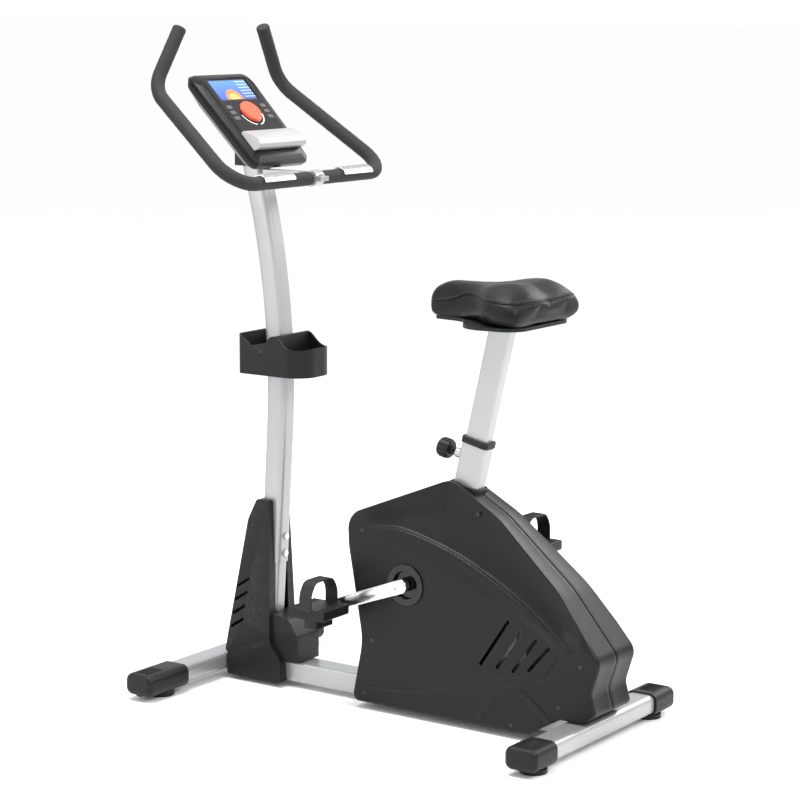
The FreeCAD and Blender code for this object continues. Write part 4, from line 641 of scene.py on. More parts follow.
# ---- geometry node trees ------------------------------------------------------------------
def row_tree():
    """A row of small rounded bars between two points."""
    if "Bar row" in bpy.data.node_groups:
        return bpy.data.node_groups["Bar row"]
    tree = bpy.data.node_groups.new("Bar row", "GeometryNodeTree")
    for label, kind in (("Start", "NodeSocketVector"), ("End", "NodeSocketVector"),
                        ("Count", "NodeSocketInt"), ("Bar", "NodeSocketVector"),
                        ("Turn", "NodeSocketRotation"), ("Material", "NodeSocketMaterial")):
        tree.interface.new_socket(name=label, in_out="INPUT", socket_type=kind)
    tree.interface.new_socket(name="Geometry", in_out="OUTPUT", socket_type="NodeSocketGeometry")
    given = tree.nodes.new("NodeGroupInput").outputs
    line = add_node(tree, "GeometryNodeMeshLine", {"mode": "END_POINTS"}, Count=given["Count"],
                    i2=given["Start"], i3=given["End"])
    drum = add_node(tree, "GeometryNodeMeshCylinder", None, Vertices=8, Radius=0.5, Depth=1.0)
    shape = add_node(tree, "GeometryNodeTransform", None, Geometry=drum.outputs["Mesh"],
                     Scale=given["Bar"])
    smooth = add_node(tree, "GeometryNodeSetShadeSmooth", None, Geometry=shape.outputs[0])
    placed = add_node(tree, "GeometryNodeInstanceOnPoints", None, Points=line.outputs[0],
                      Instance=smooth.outputs[0], Rotation=given["Turn"])
    return finish_tree(tree, placed.outputs[0], given["Material"])


def finish_tree(tree, geometry, material):
    real = add_node(tree, "GeometryNodeRealizeInstances", None, Geometry=geometry)
    painted = add_node(tree, "GeometryNodeSetMaterial", None, Geometry=real.outputs[0],
                       Material=material)
    out = tree.nodes.new("NodeGroupOutput")
    tree.links.new(painted.outputs[0], out.inputs[0])
    return tree


def stitch_tree():
    """Short threads set along a line, lying along it."""
    if "Stitches" in bpy.data.node_groups:
        return bpy.data.node_groups["Stitches"]
    tree = bpy.data.node_groups.new("Stitches", "GeometryNodeTree")
    for label, kind in (("Geometry", "NodeSocketGeometry"), ("Spacing", "NodeSocketFloat"),
                        ("Thread", "NodeSocketVector"), ("Material", "NodeSocketMaterial")):
        tree.interface.new_socket(name=label, in_out="INPUT", socket_type=kind)
    tree.interface.new_socket(name="Geometry", in_out="OUTPUT", socket_type="NodeSocketGeometry")
    given = tree.nodes.new("NodeGroupInput").outputs
    curve = add_node(tree, "GeometryNodeMeshToCurve", None, i0=given["Geometry"])
    spaced = add_node(tree, "GeometryNodeResampleCurve", {"mode": "LENGTH"},
                      Curve=curve.outputs[0], Length=given["Spacing"])
    tangent = tree.nodes.new("GeometryNodeInputTangent").outputs[0]
    turn = add_node(tree, "FunctionNodeAlignRotationToVector", {"axis": "Z"}, Vector=tangent)
    drum = add_node(tree, "GeometryNodeMeshCylinder", None, Vertices=6, Radius=0.5, Depth=1.0)
    shape = add_node(tree, "GeometryNodeTransform", None, Geometry=drum.outputs["Mesh"],
                     Scale=given["Thread"])
    smooth = add_node(tree, "GeometryNodeSetShadeSmooth", None, Geometry=shape.outputs[0])
    placed = add_node(tree, "GeometryNodeInstanceOnPoints", None, Points=spaced.outputs[0],
                      Instance=smooth.outputs[0], Rotation=turn.outputs[0])
    return finish_tree(tree, placed.outputs[0], given["Material"])


def grown(name, tree, values, points=()):
    """Runs a tree on a line of points (millimetres) and returns its result as a plain object."""
    mesh = bpy.data.meshes.new(name)
    mesh.from_pydata([tuple(c * MM for c in p) for p in points],
                     [(i, i + 1) for i in range(len(points) - 1)], [])
    obj = bpy.data.objects.new(name, mesh)
    bpy.context.scene.collection.objects.link(obj)
    modifier = obj.modifiers.new(name, "NODES")
    modifier.node_group = tree
    for item in tree.interface.items_tree:
        if item.in_out == "INPUT" and item.name in values:
            modifier[item.identifier] = values[item.name]
    return baked(obj)


def bar_row(name, start, end, count, bar, turn, material):
    """A row of bars; places and sizes in millimetres, turn in degrees."""
    values = {"Start": [c * MM for c in start], "End": [c * MM for c in end], "Count": count,
              "Bar": [c * MM for c in bar], "Turn": [math.radians(a) for a in turn],
              "Material": material}
    return grown(name, row_tree(), values)


def joined(name, objects):
    """One plain object from several that share their material order."""
    work = bmesh.new()
    materials = []
    for obj in objects:
        source = baked(obj).data if obj.modifiers else obj.data
        base = len(work.faces)
        work.from_mesh(source)
        work.faces.ensure_lookup_table()
        for face in work.faces[base:]:
            material = source.materials[face.material_index] if source.materials else None
            if material not in materials:
                materials.append(material)
            face.material_index = materials.index(material)
    mesh = bpy.data.meshes.new(name)
    work.to_mesh(mesh)
    work.free()
    mesh.materials.clear()
    for material in materials:
        mesh.materials.append(material)
    for obj in objects:
        bpy.data.objects.remove(obj)
    result = bpy.data.objects.new(name, mesh)
    bpy.context.scene.collection.objects.link(result)
    return result


# ---- frame and machined parts -------------------------------------------------------------
def copy_placed(name, node, body, material, width, segments=3):
    """A softened copy of a CAD node, riding on its body."""
    place_piece(copy_piece(name, node, material, width, segments), body, [node])


STEEL_PIECES = [
    ("main_beam", "frame", 0.8), ("front_stabiliser", "frame", 0.5),
    ("rear_stabiliser", "frame", 0.5), ("post_stub", "frame", 0.5), ("upper_post", "frame", 0.8),
    ("seat_tube", "frame", 0.8), ("handlebar_clamp", "frame", 1.0), ("clamp_cap", "frame", 1.0),
    ("seat_post", "seat", 0.6)]
CHROME_PIECES = [("handlebar_tube", "handlebar", 0.3)]


def give_finish(node, material):
    """Gives a CAD node that stays its finish."""
    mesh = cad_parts[node].data
    mesh.materials.clear()
    mesh.materials.append(material)


class BIKE_OT_frame(bpy.types.Operator):
    """Steel tubes, post, seat tube and clamp, with softened edges and silver paint"""
    bl_idname = "bike.frame"
    bl_label = "Frame"

    def execute(self, context):
        for node, body, edge in STEEL_PIECES:
            copy_placed(node.title(), node, body, silver_paint(), edge * MM, 2)
        for node, body, edge in CHROME_PIECES:
            copy_placed("Handlebar_steel", node, body, chrome(), edge * MM, 2)
        return {"FINISHED"}


class BIKE_OT_drive(bpy.types.Operator):
    """Finishes of the drive and other parts inside the casing"""
    bl_idname = "bike.drive"
    bl_label = "Drive"

    def execute(self, context):
        steel = machined_steel()
        belt = moulded("Belt", (0.018, 0.018, 0.019), 0.6, scale=800.0, mottle=0.2)
        pulley = moulded("Pulley", (0.05, 0.05, 0.052), 0.45)
        inner = {"drive_frame": silver_paint(), "crank_bearings": steel, "flywheel_axle": steel,
                 "flywheel": cast_wheel(), "idler_arm": steel, "crank_axle": steel,
                 "pedal_spindles": steel, "drive_belt": belt, "drive_pulley": pulley,
                 "idler_pulley": pulley, "frame_bolts": steel, "level_foot_left": cap_plastic(),
                 "level_foot_right": cap_plastic(), "saddle_base": cap_plastic(),
                 "roller_left": strap_rubber(), "roller_right": strap_rubber(),
                 "controller_board": moulded("Board", (0.02, 0.09, 0.035), 0.4),
                 "generator_stator": moulded("Copper coil", (0.030, 0.012, 0.006), 0.5),
                 "cover_screws": moulded("Screw black", (0.02, 0.02, 0.02), 0.35, metallic=0.5)}
        for node, material in inner.items():
            give_finish(node, material)
        return {"FINISHED"}


# ---- casing -------------------------------------------------------------------------------
CASING_OUTLINE = [
    (86, 14, 14), (60, 145, 150), (95, 340, 90), (98, 404, 44), (-132.46, 498, 45),
    (-250.03, 432, 200), (-400.03, 306, 250), (-503.03, 184, 30), (-482.03, 118, 30),
    (-494, 76, 10), (-462, 57, 3), (-412, 57, 3), (-338, 14, 12)]
CASING_HALF, CASING_EDGE, CASING_BAND = 73.0, 6.0, 65.0
LEAN_START, LEAN_END = (98.0, 400.0), (-503.03, 195.0)
CASING_PEAK, TOP_HALF = (-157.46, 498.0), 32.0
RIDGE = [(52, 383), (20, 388), (-27, 388), (-97, 374), (-175, 349), (-248, 316), (-315, 280),
         (-372, 242), (-416, 211), (-452, 190)]
GROOVE = [(48, 51), (-14, 53), (-76, 61), (-132, 75), (-187, 92), (-241, 111), (-295, 126),
          (-334, 130), (-364, 129), (-378, 135), (-391, 153), (-414, 186)]
ARCH = [(-233, 33), (-255, 68), (-277, 89), (-304, 101), (-331, 97), (-357, 78), (-393, 49)]
HUB = (-50.0, 277.0)
WHEEL = (-282.03, 202.0)
VENTS = [((-14, 38), (53, -63)), ((-46, 24), (14, -64)), ((-78, 9), (-23, -66)),
         ((-108, -2), (-59, -58))]
COLLAR_Z, COLLAR_HALF, COLLAR_REACH = 440.0, 23.6, 34.0
SEAT_PIVOT, SEAT_LEAN = (-172.0, 560.0), math.radians(13.2)
BADGE, BADGE_SIZE = (-467.0, 95.0), (15, 9.5)


def vent_loop(start, end, half=3.5, step=2.2):
    a, b = Vector(start) + Vector(WHEEL), Vector(end) + Vector(WHEEL)
    run = (b - a).normalized()
    side = Vector((-run.y, run.x)) * half
    corners = [(*(a + side), 3.0), (*(b + side), 3.0), (*(b - side), 3.0), (*(a - side), 3.0)]
    return rounded(corners, step)


def above_lean(pts):
    start, end = np.array(LEAN_START), np.array(LEAN_END)
    run = (end - start) / np.linalg.norm(end - start)
    rel = pts - start
    return rel[:, 1] * -run[0] + rel[:, 0] * run[1]


def casing_depth(points, outline, rim=None):
    """How far out the casing's side stands at each place, in millimetres."""
    pts = np.asarray([tuple(p) for p in points], float)
    peak = above_lean(np.array([CASING_PEAK]))[0]
    slope = (CASING_HALF - TOP_HALF) / peak
    above = above_lean(pts)
    lean = np.maximum(above, 0.0)
    y = CASING_HALF - slope * lean
    edge = line_distance(pts, outline, True)[0] if rim is None else rim
    # The lower sides turn into the band by a quarter round, the leaning side by a crisp lip
    flat = 1.0 - smoothstep(-4.0, 26.0, above)
    drop = 8.0 * (1.0 - np.sqrt(np.clip(1.0 - (1.0 - np.minimum(edge, 7.0) / 7.0) ** 2, 0, 1)))
    lip = 1.6 * (1.0 - np.sqrt(np.clip(1.0 - (1.0 - np.minimum(edge, 2.0) / 2.0) ** 2, 0, 1)))
    y -= drop * flat + lip * (1.0 - flat)
    ridge, side, share = line_distance(pts, smooth_path([(x, z, 0) for x, z in RIDGE], 6.0))
    signed = ridge * -side
    fade = smoothstep(0.0, 0.16, share) * (1.0 - smoothstep(0.88, 1.0, share))
    high, deep = sizes().ridge / MM, sizes().scoop / MM
    up = smoothstep(-26.0, -1.5, signed) * (1.0 - smoothstep(-1.0, 3.0, signed))
    y += high * up * fade
    over = np.maximum(signed, 0.0)
    across = over / (over + edge + 1e-6)
    bowl = np.sin(np.pi * np.clip(across, 0, 1) ** 0.8) * deep
    step = high * 0.8 * smoothstep(-1.0, 3.0, signed) * (1 - across)
    y -= (bowl + step) * np.where(signed > -1.0, 1.0, 0.0) * fade
    near, _, share = line_distance(pts, smooth_path([(x, z, 0) for x, z in GROOVE], 5.0))
    ends = smoothstep(0.0, 0.03, share) * (1.0 - smoothstep(0.97, 1.0, share))
    y -= sizes().groove / MM * np.exp(-(near / 2.3) ** 2) * ends
    near, side, _ = line_distance(pts, smooth_path([(x, z, 0) for x, z in ARCH], 5.0))
    y += 1.5 * (1.0 - smoothstep(5.0, 7.5, near))
    hub = np.hypot(pts[:, 0] - HUB[0], pts[:, 1] - HUB[1])
    y += 1.1 * (1.0 - smoothstep(46.0, 50.0, hub)) * (hub > 44.0)
    y = np.where(hub <= 46.0, CASING_HALF, y)
    return y


def casing_half(name, side):
    """One half of the casing; side is 1 for left and -1 for right."""
    outline = resampled(rounded(CASING_OUTLINE, 2.0), 3.6, True)
    hub_loop = [Vector((HUB[0] + 34 * math.cos(t), HUB[1] + 34 * math.sin(t)))
                for t in (math.tau * k / 72 for k in range(72))]
    holes = [hub_loop] + [vent_loop(a, b) for a, b in VENTS]
    step = sizes().casing_step / MM
    rings, rims = [], []
    middle = [p.copy() for p in outline]
    for depth in (0.8, 1.9, 3.4, 5.2, 7.4):
        for i, p in enumerate(middle):
            run = (middle[(i + 1) % len(middle)] - middle[i - 1]).normalized()
            rings.append(p + Vector((-run.y, run.x)) * depth * loop_turn(outline))
            rims.append(depth)
    grid = grid_in(outline, holes, step, 9.0)
    lines = []
    for path, offsets in ((RIDGE, (-6, -3, -1.5, -0.5, 0.7, 1.8, 3.0, 5.0)),
                          (GROOVE, (-3.4, -1.8, 0, 1.8, 3.4)), (ARCH, (-7.6, -5.6, 5.6, 7.6))):
        run = smooth_path([(x, z, 0) for x, z in path], 3.2)
        for i, p in enumerate(run[1:-1], 1):
            ahead = (run[i + 1] - run[i - 1]).normalized()
            normal = Vector((-ahead.y, ahead.x))
            lines += [(p.x + normal.x * o, p.y + normal.y * o) for o in offsets]
    pts = np.array(lines)
    keep = inside(pts, outline) & (line_distance(pts, outline, True)[0] > 8.0)
    for hole in holes:
        keep &= ~inside(pts, hole)
    lines = [tuple(p) for p in pts[keep]]
    used = line_distance(np.array(grid), smooth_path([(x, z, 0) for x, z in RIDGE], 6.0))[0]
    grid = [g for g, d in zip(grid, used) if d > 1.2]
    flat, tris = triangulated(outline, holes, [tuple(p) for p in rings] + grid + lines)
    depth = casing_depth(flat, outline)
    at_collar = collar_gap(flat)
    points = [(p[0], side * y, p[1]) for p, y in zip(flat, depth)]
    faces = [tuple(t) if side < 0 else tuple(reversed(t)) for t in tris]
    walls = []
    count = len(outline)
    rows = [0.93, 0.8, 0.6, 0.4, 0.2, 0.07, 0.02]
    for share in rows:
        for i in range(count):
            p, y = flat[i], depth[i]
            run = (outline[(i + 1) % count] - outline[i - 1]).normalized()
            normal = Vector((-run.y, run.x)) * loop_turn(outline)
            dip = 1.3 * math.sin(math.pi * share) * min(1.0, y / 40)
            dip += 0.9 if share < 0.05 else 0.0
            least = COLLAR_HALF if at_collar[i] else 0.35
            walls.append((p[0] + normal.x * dip, side * max(y * share, least),
                          p[1] + normal.y * dip))
    base = len(points)
    points += walls
    previous = list(range(count))
    for k in range(len(rows)):
        current = [base + k * count + i for i in range(count)]
        for i in range(count):
            j = (i + 1) % count
            quad = (previous[i], previous[j], current[j], current[i])
            faces.append(quad if side * loop_turn(outline) < 0 else tuple(reversed(quad)))
        previous = current
    # Hole walls, three millimetres deep
    for a, b in boundary_loops([tuple(f) for f in faces]):
        if a < count or a >= base:
            continue
        extra = len(points)
        for i in (a, b):
            x, y, z = points[i]
            points.append((x, y - side * 3.0, z))
        faces.append((b, a, extra, extra + 1))
    return mesh_piece(name, points, faces, casing_plastic(), 50.0)


def loop_turn(loop):
    """1 where a loop runs anticlockwise, else -1."""
    area = sum(a[0] * b[1] - b[0] * a[1] for a, b in zip(loop, loop[1:] + loop[:1]))
    return 1.0 if area > 0 else -1.0


def collar_gap(flat):
    """Which places of the outline the seat tube's collar passes through."""
    return [abs(p[0] - SEAT_PIVOT[0] - (SEAT_PIVOT[1] - p[1]) * math.tan(SEAT_LEAN)) < COLLAR_REACH
            and p[1] > COLLAR_Z for p in flat]


class BIKE_OT_casing(bpy.types.Operator):
    """Both halves of the casing, with their ridge, scoop, groove, vents and edge rounding"""
    bl_idname = "bike.casing"
    bl_label = "Casing"

    def execute(self, context):
        for name, side in (("left", 1), ("right", -1)):
            place_piece(casing_half("Casing_" + name, side), "frame",
                        ["casing_" + name])
            badge = turned("Badge_" + name, (BADGE[0], side * 64.5, BADGE[1]), (0, side, 0),
                           [(0, 0), (1, 0), (1, 1.2), (0.86, 2.2), (0.80, 1.6), (0, 1.9)],
                           gloss_plastic(), 48)
            for vertex in badge.data.vertices:
                x, z = vertex.co.x / MM - BADGE[0], vertex.co.z / MM - BADGE[1]
                vertex.co.x = (x * BADGE_SIZE[0] + BADGE[0]) * MM
                vertex.co.z = (z * BADGE_SIZE[1] + BADGE[1]) * MM
            place_piece(badge, "frame")
        copy_placed("Casing_collar", "casing_collar", "frame", cap_plastic(), 2.0 * MM)
        copy_placed("Hub_rings", "hub_covers", "frame", gloss_plastic(), 0.9 * MM)
        return {"FINISHED"}


# ---- covers and caps ----------------------------------------------------------------------
class BIKE_OT_covers(bpy.types.Operator):
    """End caps with grip ribs, the shroud round the post's foot, and the cup holder"""
    bl_idname = "bike.covers"
    bl_label = "Covers"

    def execute(self, context):
        plastic = cap_plastic()
        for node in ("front_caps", "rear_caps"):
            low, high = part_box(node)
            cap = copy_piece(node.title() + "_body", node, plastic, 1.6 * MM, 3)
            mid_x, top = (low[0] + high[0]) / 2 / MM, high[2] / MM
            reach = high[1] / MM
            parts = [cap]
            for side in (-1, 1):
                y0, y1 = side * (reach - 62), side * (reach - 16)
                parts.append(bar_row("ribs", (mid_x, y0, top + 0.1), (mid_x, y1, top + 0.1),
                                     sizes().ribs, (1.5, 1.6, 34), (0, 90, 0), plastic))
            place_piece(joined(node.title(), parts), "frame", [node])
        for side in ("left", "right"):
            copy_placed("Shroud_" + side, "post_shroud_" + side, "frame", casing_plastic(),
                        1.5 * MM)
        copy_placed("Cup_holder", "cup_holder", "frame", plastic, 1.0 * MM)
        return {"FINISHED"}


# ---- crank and pedals ---------------------------------------------------------------------
CRANK_ANGLE, CRANK_LENGTH = math.radians(-20.5), 170


def eye_of(side):
    """The pedal's axis at the end of a crank arm, in millimetres."""
    reach = side * CRANK_LENGTH
    return (HUB[0] + reach * math.cos(CRANK_ANGLE), HUB[1] + reach * math.sin(CRANK_ANGLE))


def arm_rings(side):
    """A tapered arm round its hub and eye, with rounded edges, as rings across its thickness."""
    hub, eye = Vector(HUB), Vector(eye_of(side))
    along = math.atan2(eye.y - hub.y, eye.x - hub.x)
    rings = []
    for depth, inset in ((82.0, 2.2), (82.6, 0.8), (84.0, 0.0), (93.2, 0.0), (94.6, 0.6),
                         (95.6, 1.9), (96.0, 3.6)):
        ring = []
        for centre, radius, start in ((hub, 15.0, along + math.pi / 2), (eye, 12.5,
                                                                         along - math.pi / 2)):
            for k in range(25):
                t = start + math.pi * k / 24
                ring.append((centre.x + (radius - inset) * math.cos(t), side * depth,
                             centre.y + (radius - inset) * math.sin(t)))
        rings.append(ring)
    return rings


class BIKE_OT_cranks(bpy.types.Operator):
    """Polished crank arms with dust caps"""
    bl_idname = "bike.cranks"
    bl_label = "Cranks"

    def execute(self, context):
        for name, side in (("left", 1), ("right", -1)):
            node = "crank_arm_" + name
            arm = lofted("Crank_arm_" + name, arm_rings(side), polished_arm(), True, 40.0)
            place_piece(arm, "crank", [node])
            rim = turned("Crank_rim_" + name, (HUB[0], side * 95.6, HUB[1]), (0, side, 0),
                         [(10.6, -1.5), (13.6, -0.5), (13.8, 0.9), (13.0, 1.9), (11.6, 2.1),
                          (10.8, 1.4), (10.6, -1.5)], chrome(), 48, ends=False)
            cap = turned("Dust_cap_" + name, (HUB[0], side * 95.6, HUB[1]), (0, side, 0),
                         [(0, -0.6), (10.9, -0.6), (10.9, 0.7), (9.8, 1.2), (4.0, 0.8),
                          (3.4, 0.2), (0, 0.2)], cap_plastic(), 48)
            place_piece(joined("Crank_end_" + name, [rim, cap]), "crank")
        return {"FINISHED"}


class BIKE_OT_pedals(bpy.types.Operator):
    """Pedals with tread ribs, and their straps with cross ribs"""
    bl_idname = "bike.pedals"
    bl_label = "Pedals"

    def execute(self, context):
        for name, side in (("left", 1), ("right", -1)):
            body = "pedal_" + name
            x, z = eye_of(side)
            pedal = copy_piece("Pedal_body", body, cap_plastic(), 1.5 * MM, 3)
            parts = [pedal]
            for dx in (-38, -29, 29, 38):
                parts.append(bar_row("tread", (x + dx, side * 116, z + 11),
                                     (x + dx, side * 190, z + 11), 15, (2.0, 2.6, 5.5),
                                     (0, 90, 0), cap_plastic()))
            place_piece(joined("Pedal_" + name, parts), body, [body])
            node = "pedal_strap_" + name
            strap = copy_piece("Strap_body", node, strap_rubber(), 0.7 * MM, 2)
            low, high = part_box(node)
            ribs = bar_row("ribs", (x, low[1] / MM + 26, high[2] / MM - 0.2),
                           (x, high[1] / MM - 26, high[2] / MM - 0.2), 12, (1.6, 1.8, 24),
                           (0, 90, 0), strap_rubber())
            place_piece(joined("Strap_" + name, [strap, ribs]), body, [node])
        return {"FINISHED"}


# ---- saddle -------------------------------------------------------------------------------
# Stations from the nose back: place, half width, underside, shoulder and crown heights
SADDLE = [
    (-64.5, 14, 832, 852, 862), (-68, 22, 826, 861, 871), (-78, 28, 822.5, 869, 880),
    (-96, 32, 822, 875, 886), (-120, 35, 822, 878, 889), (-150, 41, 822, 879, 889),
    (-180, 54, 822, 879, 889), (-205, 73, 822, 880, 890), (-228, 95, 822, 882, 892),
    (-250, 113, 822, 884, 895), (-272, 124, 822, 885, 897), (-294, 128, 822, 884, 897),
    (-314, 128, 822, 880, 893), (-329, 125, 823, 873, 885), (-337, 118, 827, 862, 874),
    (-339, 108, 834, 850, 862)]


PAN_TOP, SADDLE_BACK, SADDLE_NOSE = 822.0, -0.3398, -0.064


def saddle_rings(count=56):
    rings = []
    for x, half, low, shoulder, crown in SADDLE:
        ring = []
        for k in range(count):
            t = math.tau * k / count
            c, s = math.cos(t), math.sin(t)
            y = half * math.copysign(abs(c) ** (0.5 if s >= 0 else 0.34), c)
            if s >= 0:
                share = abs(s) ** 0.75
                z = (low + shoulder) / 2 + (shoulder - (low + shoulder) / 2) * share
                z += (crown - shoulder) * (1 - (abs(y) / max(half, 1)) ** 2.2)
                wide = min(1.0, max(0.0, (half - 60) / 50))
                z += wide * (4.5 * math.exp(-((abs(y) - 66) / 26) ** 2)
                             - 3.5 * math.exp(-(y / 15) ** 2)) * share
            else:
                z = (low + shoulder) / 2 - ((low + shoulder) / 2 - low) * abs(s) ** 0.7
                y *= 1.0 - 0.05 * abs(s)
            ring.append((x, y, z))
        rings.append(ring)
    return rings


def swollen(obj, voxel, cap):
    """Puffs a closed form with cloth pressure, each point held within cap of where it was."""
    remesh = obj.modifiers.new("Remesh", "REMESH")
    remesh.mode = "VOXEL"
    remesh.voxel_size = voxel
    baked(obj)
    start = [v.co.copy() for v in obj.data.vertices]
    cloth = obj.modifiers.new("Cloth", "CLOTH")
    cloth.settings.use_pressure = True
    cloth.settings.uniform_pressure_force = 4.0
    cloth.settings.effector_weights.gravity = 0.0
    cloth.settings.quality = 5
    cloth.settings.tension_stiffness = 15.0
    cloth.settings.compression_stiffness = 15.0
    cloth.point_cache.frame_start = 1
    cloth.point_cache.frame_end = 20
    scene = bpy.context.scene
    for step in range(1, 21):
        scene.frame_set(step)
    baked(obj)
    scene.frame_set(1)
    for vertex, was in zip(obj.data.vertices, start):
        move = vertex.co - was
        if move.length > cap:
            vertex.co = was + move.normalized() * cap
    return obj


def saddle_seam(tree, height, out):
    """A line round the saddle's sides at the given heights, just off its surface."""
    line = []
    for k in range(181):
        t = math.radians(-178 + 356 * k / 180)
        direction = Vector((-math.cos(t), math.sin(t), 0.0))
        share = abs(t) / math.pi
        z = height(share) * MM
        centre = Vector((-0.20, 0.0, z))
        hit = tree.ray_cast(centre + direction * 0.4, -direction)
        if hit[0] is not None:
            line.append((hit[0] + hit[1] * out * MM) / MM)
    return line


class BIKE_OT_saddle(bpy.types.Operator):
    """Padded saddle with its welt, stitches and vinyl cover"""
    bl_idname = "bike.saddle"
    bl_label = "Saddle"

    def execute(self, context):
        vinyl = moulded("Vinyl", colours().vinyl, 0.42, scale=620.0, depth=0.9, mottle=0.14,
                        dust=0.05, wave=0.5, wear=0.0, bump=0.00022, shine=0.16)
        saddle = lofted("Saddle_cushion", saddle_rings(), vinyl)
        swollen(saddle, sizes().voxel, sizes().swell * 0.6)
        smooth = saddle.modifiers.new("Smooth", "SMOOTH")
        smooth.iterations = 3
        rounder = saddle.modifiers.new("Rounder", "SUBSURF")
        rounder.levels = rounder.render_levels = 1
        baked(saddle)
        for vertex in saddle.data.vertices:
            vertex.co.z = max(vertex.co.z, PAN_TOP * MM)
            vertex.co.x = min(max(vertex.co.x, SADDLE_BACK), SADDLE_NOSE)
        tree = BVHTree.FromPolygons([v.co for v in saddle.data.vertices],
                                    [tuple(p.vertices) for p in saddle.data.polygons])

        def seam_height(share):
            return 868.0 + 5.0 * smoothstep(0.0, 0.45, share) - 26.0 * smoothstep(0.72, 1.0, share)

        seam = saddle_seam(tree, seam_height, 0.1)
        sink = line_tree(seam)
        for vertex in saddle.data.vertices:
            gap = sink.find(vertex.co)[2] / MM
            if gap < 7.0:
                vertex.co -= vertex.normal * MM * 1.3 * math.exp(-(gap / 2.4) ** 2)
        saddle.data.shade_smooth()
        place_piece(saddle, "seat", ["saddle_cushion"])
        welt = lofted("Saddle_welt", tube_rings(seam, 1.0, 10), vinyl)
        place_piece(welt, "seat")
        thread = moulded("Thread", (0.05, 0.05, 0.05), 0.6, scale=3000.0)
        above = saddle_seam(tree, lambda share: seam_height(share) + 4.2, 0.15)
        stitches = grown("Saddle_stitches", stitch_tree(),
                         {"Spacing": sizes().stitch, "Thread": [0.0009, 0.0009, 0.0034],
                          "Material": thread}, above)
        place_piece(stitches, "seat")
        return {"FINISHED"}


def line_tree(points):
    """A search tree of places along a line given in millimetres."""
    tree = KDTree(len(points) * 3)
    index = 0
    for a, b in zip(points, points[1:]):
        for k in range(3):
            tree.insert(Vector(a).lerp(Vector(b), k / 3) * MM, index)
            index += 1
    tree.balance()
    return tree


# ---- handlebar ----------------------------------------------------------------------------
BAR = (232.0, 1079.0)


def bar_path():
    """The left arm's centre line, from the middle of the crossbar to the tip."""
    corners = [((BAR[0], 16.0, BAR[1]), 0), ((BAR[0], 265.0, BAR[1]), 58.0),
               ((BAR[0] + 250, 208.0, BAR[1] + 182), 66.0),
               ((BAR[0] + 239, 139.0, BAR[1] + 300), 0)]
    result = [Vector(corners[0][0])]
    for i in (1, 2):
        point, radius = Vector(corners[i][0]), corners[i][1]
        back = (Vector(corners[i - 1][0]) - point).normalized()
        ahead = (Vector(corners[i + 1][0]) - point).normalized()
        half = back.angle(ahead) / 2
        reach = radius / math.tan(half)
        centre = point + (back + ahead).normalized() * (radius / math.sin(half))
        start, end = point + back * reach - centre, point + ahead * reach - centre
        for k in range(13):
            result.append(centre + turned_between(start, end, k / 12))
    result.append(Vector(corners[3][0]))
    return resampled(result, 4.0, False)


def turned_between(start, end, share):
    axis = start.cross(end).normalized()
    return Matrix.Rotation(start.angle(end) * share, 3, axis) @ start


class BIKE_OT_handlebar(bpy.types.Operator):
    """Foam sleeves and pulse sensors of the handlebar"""
    bl_idname = "bike.handlebar"
    bl_label = "Handlebar"

    def execute(self, context):
        path = bar_path()
        size = sizes().foam / MM
        last = path[-1]
        end = (last - path[-2]).normalized()
        path = path + [last + end * s for s in (2.0, 3.6, 4.8, 5.4)]
        count = len(path) - 1

        def radius(share):
            i = share * count
            ends = {count: 0.35, count - 1: 0.72, count - 2: 0.92, count - 3: 0.99}
            soft = 0.12 * math.sin(i * 1.7) + 0.08 * math.sin(i * 0.61 + 2)
            first = 0.86 if i < 0.5 else (0.97 if i < 1.5 else 1.0)
            return (size + soft) * ends.get(round(i), 1.0) * first

        left = lofted("Foam_left", tube_rings(path, radius, 32), foam_rubber())
        mirrored = [Vector((p.x, -p.y, p.z)) for p in path]
        right = lofted("Foam_right", tube_rings(mirrored, radius, 32), foam_rubber())
        foam = joined("Handlebar_foam", [left, right])
        foam.data.shade_smooth()
        place_piece(foam, "handlebar", ["handlebar_foam"])
        copy_placed("Pulse_sensors", "pulse_sensors", "handlebar", machined_steel(), 0.8 * MM)
        return {"FINISHED"}


# ---- console ------------------------------------------------------------------------------
TILT = math.radians(45.5)
CONSOLE_FOOT = (316.0, 1103.0)
FACE_N = 15.0


def con(u, y, n):
    """A place on the console: up its face, across, and out of it."""
    return Vector((CONSOLE_FOOT[0] + u * math.cos(TILT) - n * math.sin(TILT), y,
                   CONSOLE_FOOT[1] + u * math.sin(TILT) + n * math.cos(TILT)))


def console_plate(name, loop, holes, low, high, material, rim=0.0):
    """A thin plate on the console's face, with square-cut holes."""
    flat, tris = triangulated(loop, holes, [])
    points = [con(p[0], p[1], high) for p in flat]
    faces = [tuple(t) for t in tris]
    top = list(faces)
    for a, b in boundary_loops(top):
        base = len(points)
        points += [con(flat[a][0], flat[a][1], low), con(flat[b][0], flat[b][1], low)]
        faces.append((b, a, base, base + 1))
    obj = mesh_piece(name, points, faces, material, 30.0)
    work = bmesh.new()
    work.from_mesh(obj.data)
    bmesh.ops.remove_doubles(work, verts=work.verts, dist=1e-6)
    work.normal_update()
    out = con(0, 0, 1) - con(0, 0, 0)
    if max(work.faces, key=lambda f: f.calc_area()).normal.dot(out) < 0:
        bmesh.ops.reverse_faces(work, faces=work.faces)
    work.to_mesh(obj.data)
    work.free()
    if rim > 0:
        add_bevel(obj, rim * MM, 2)
    return obj


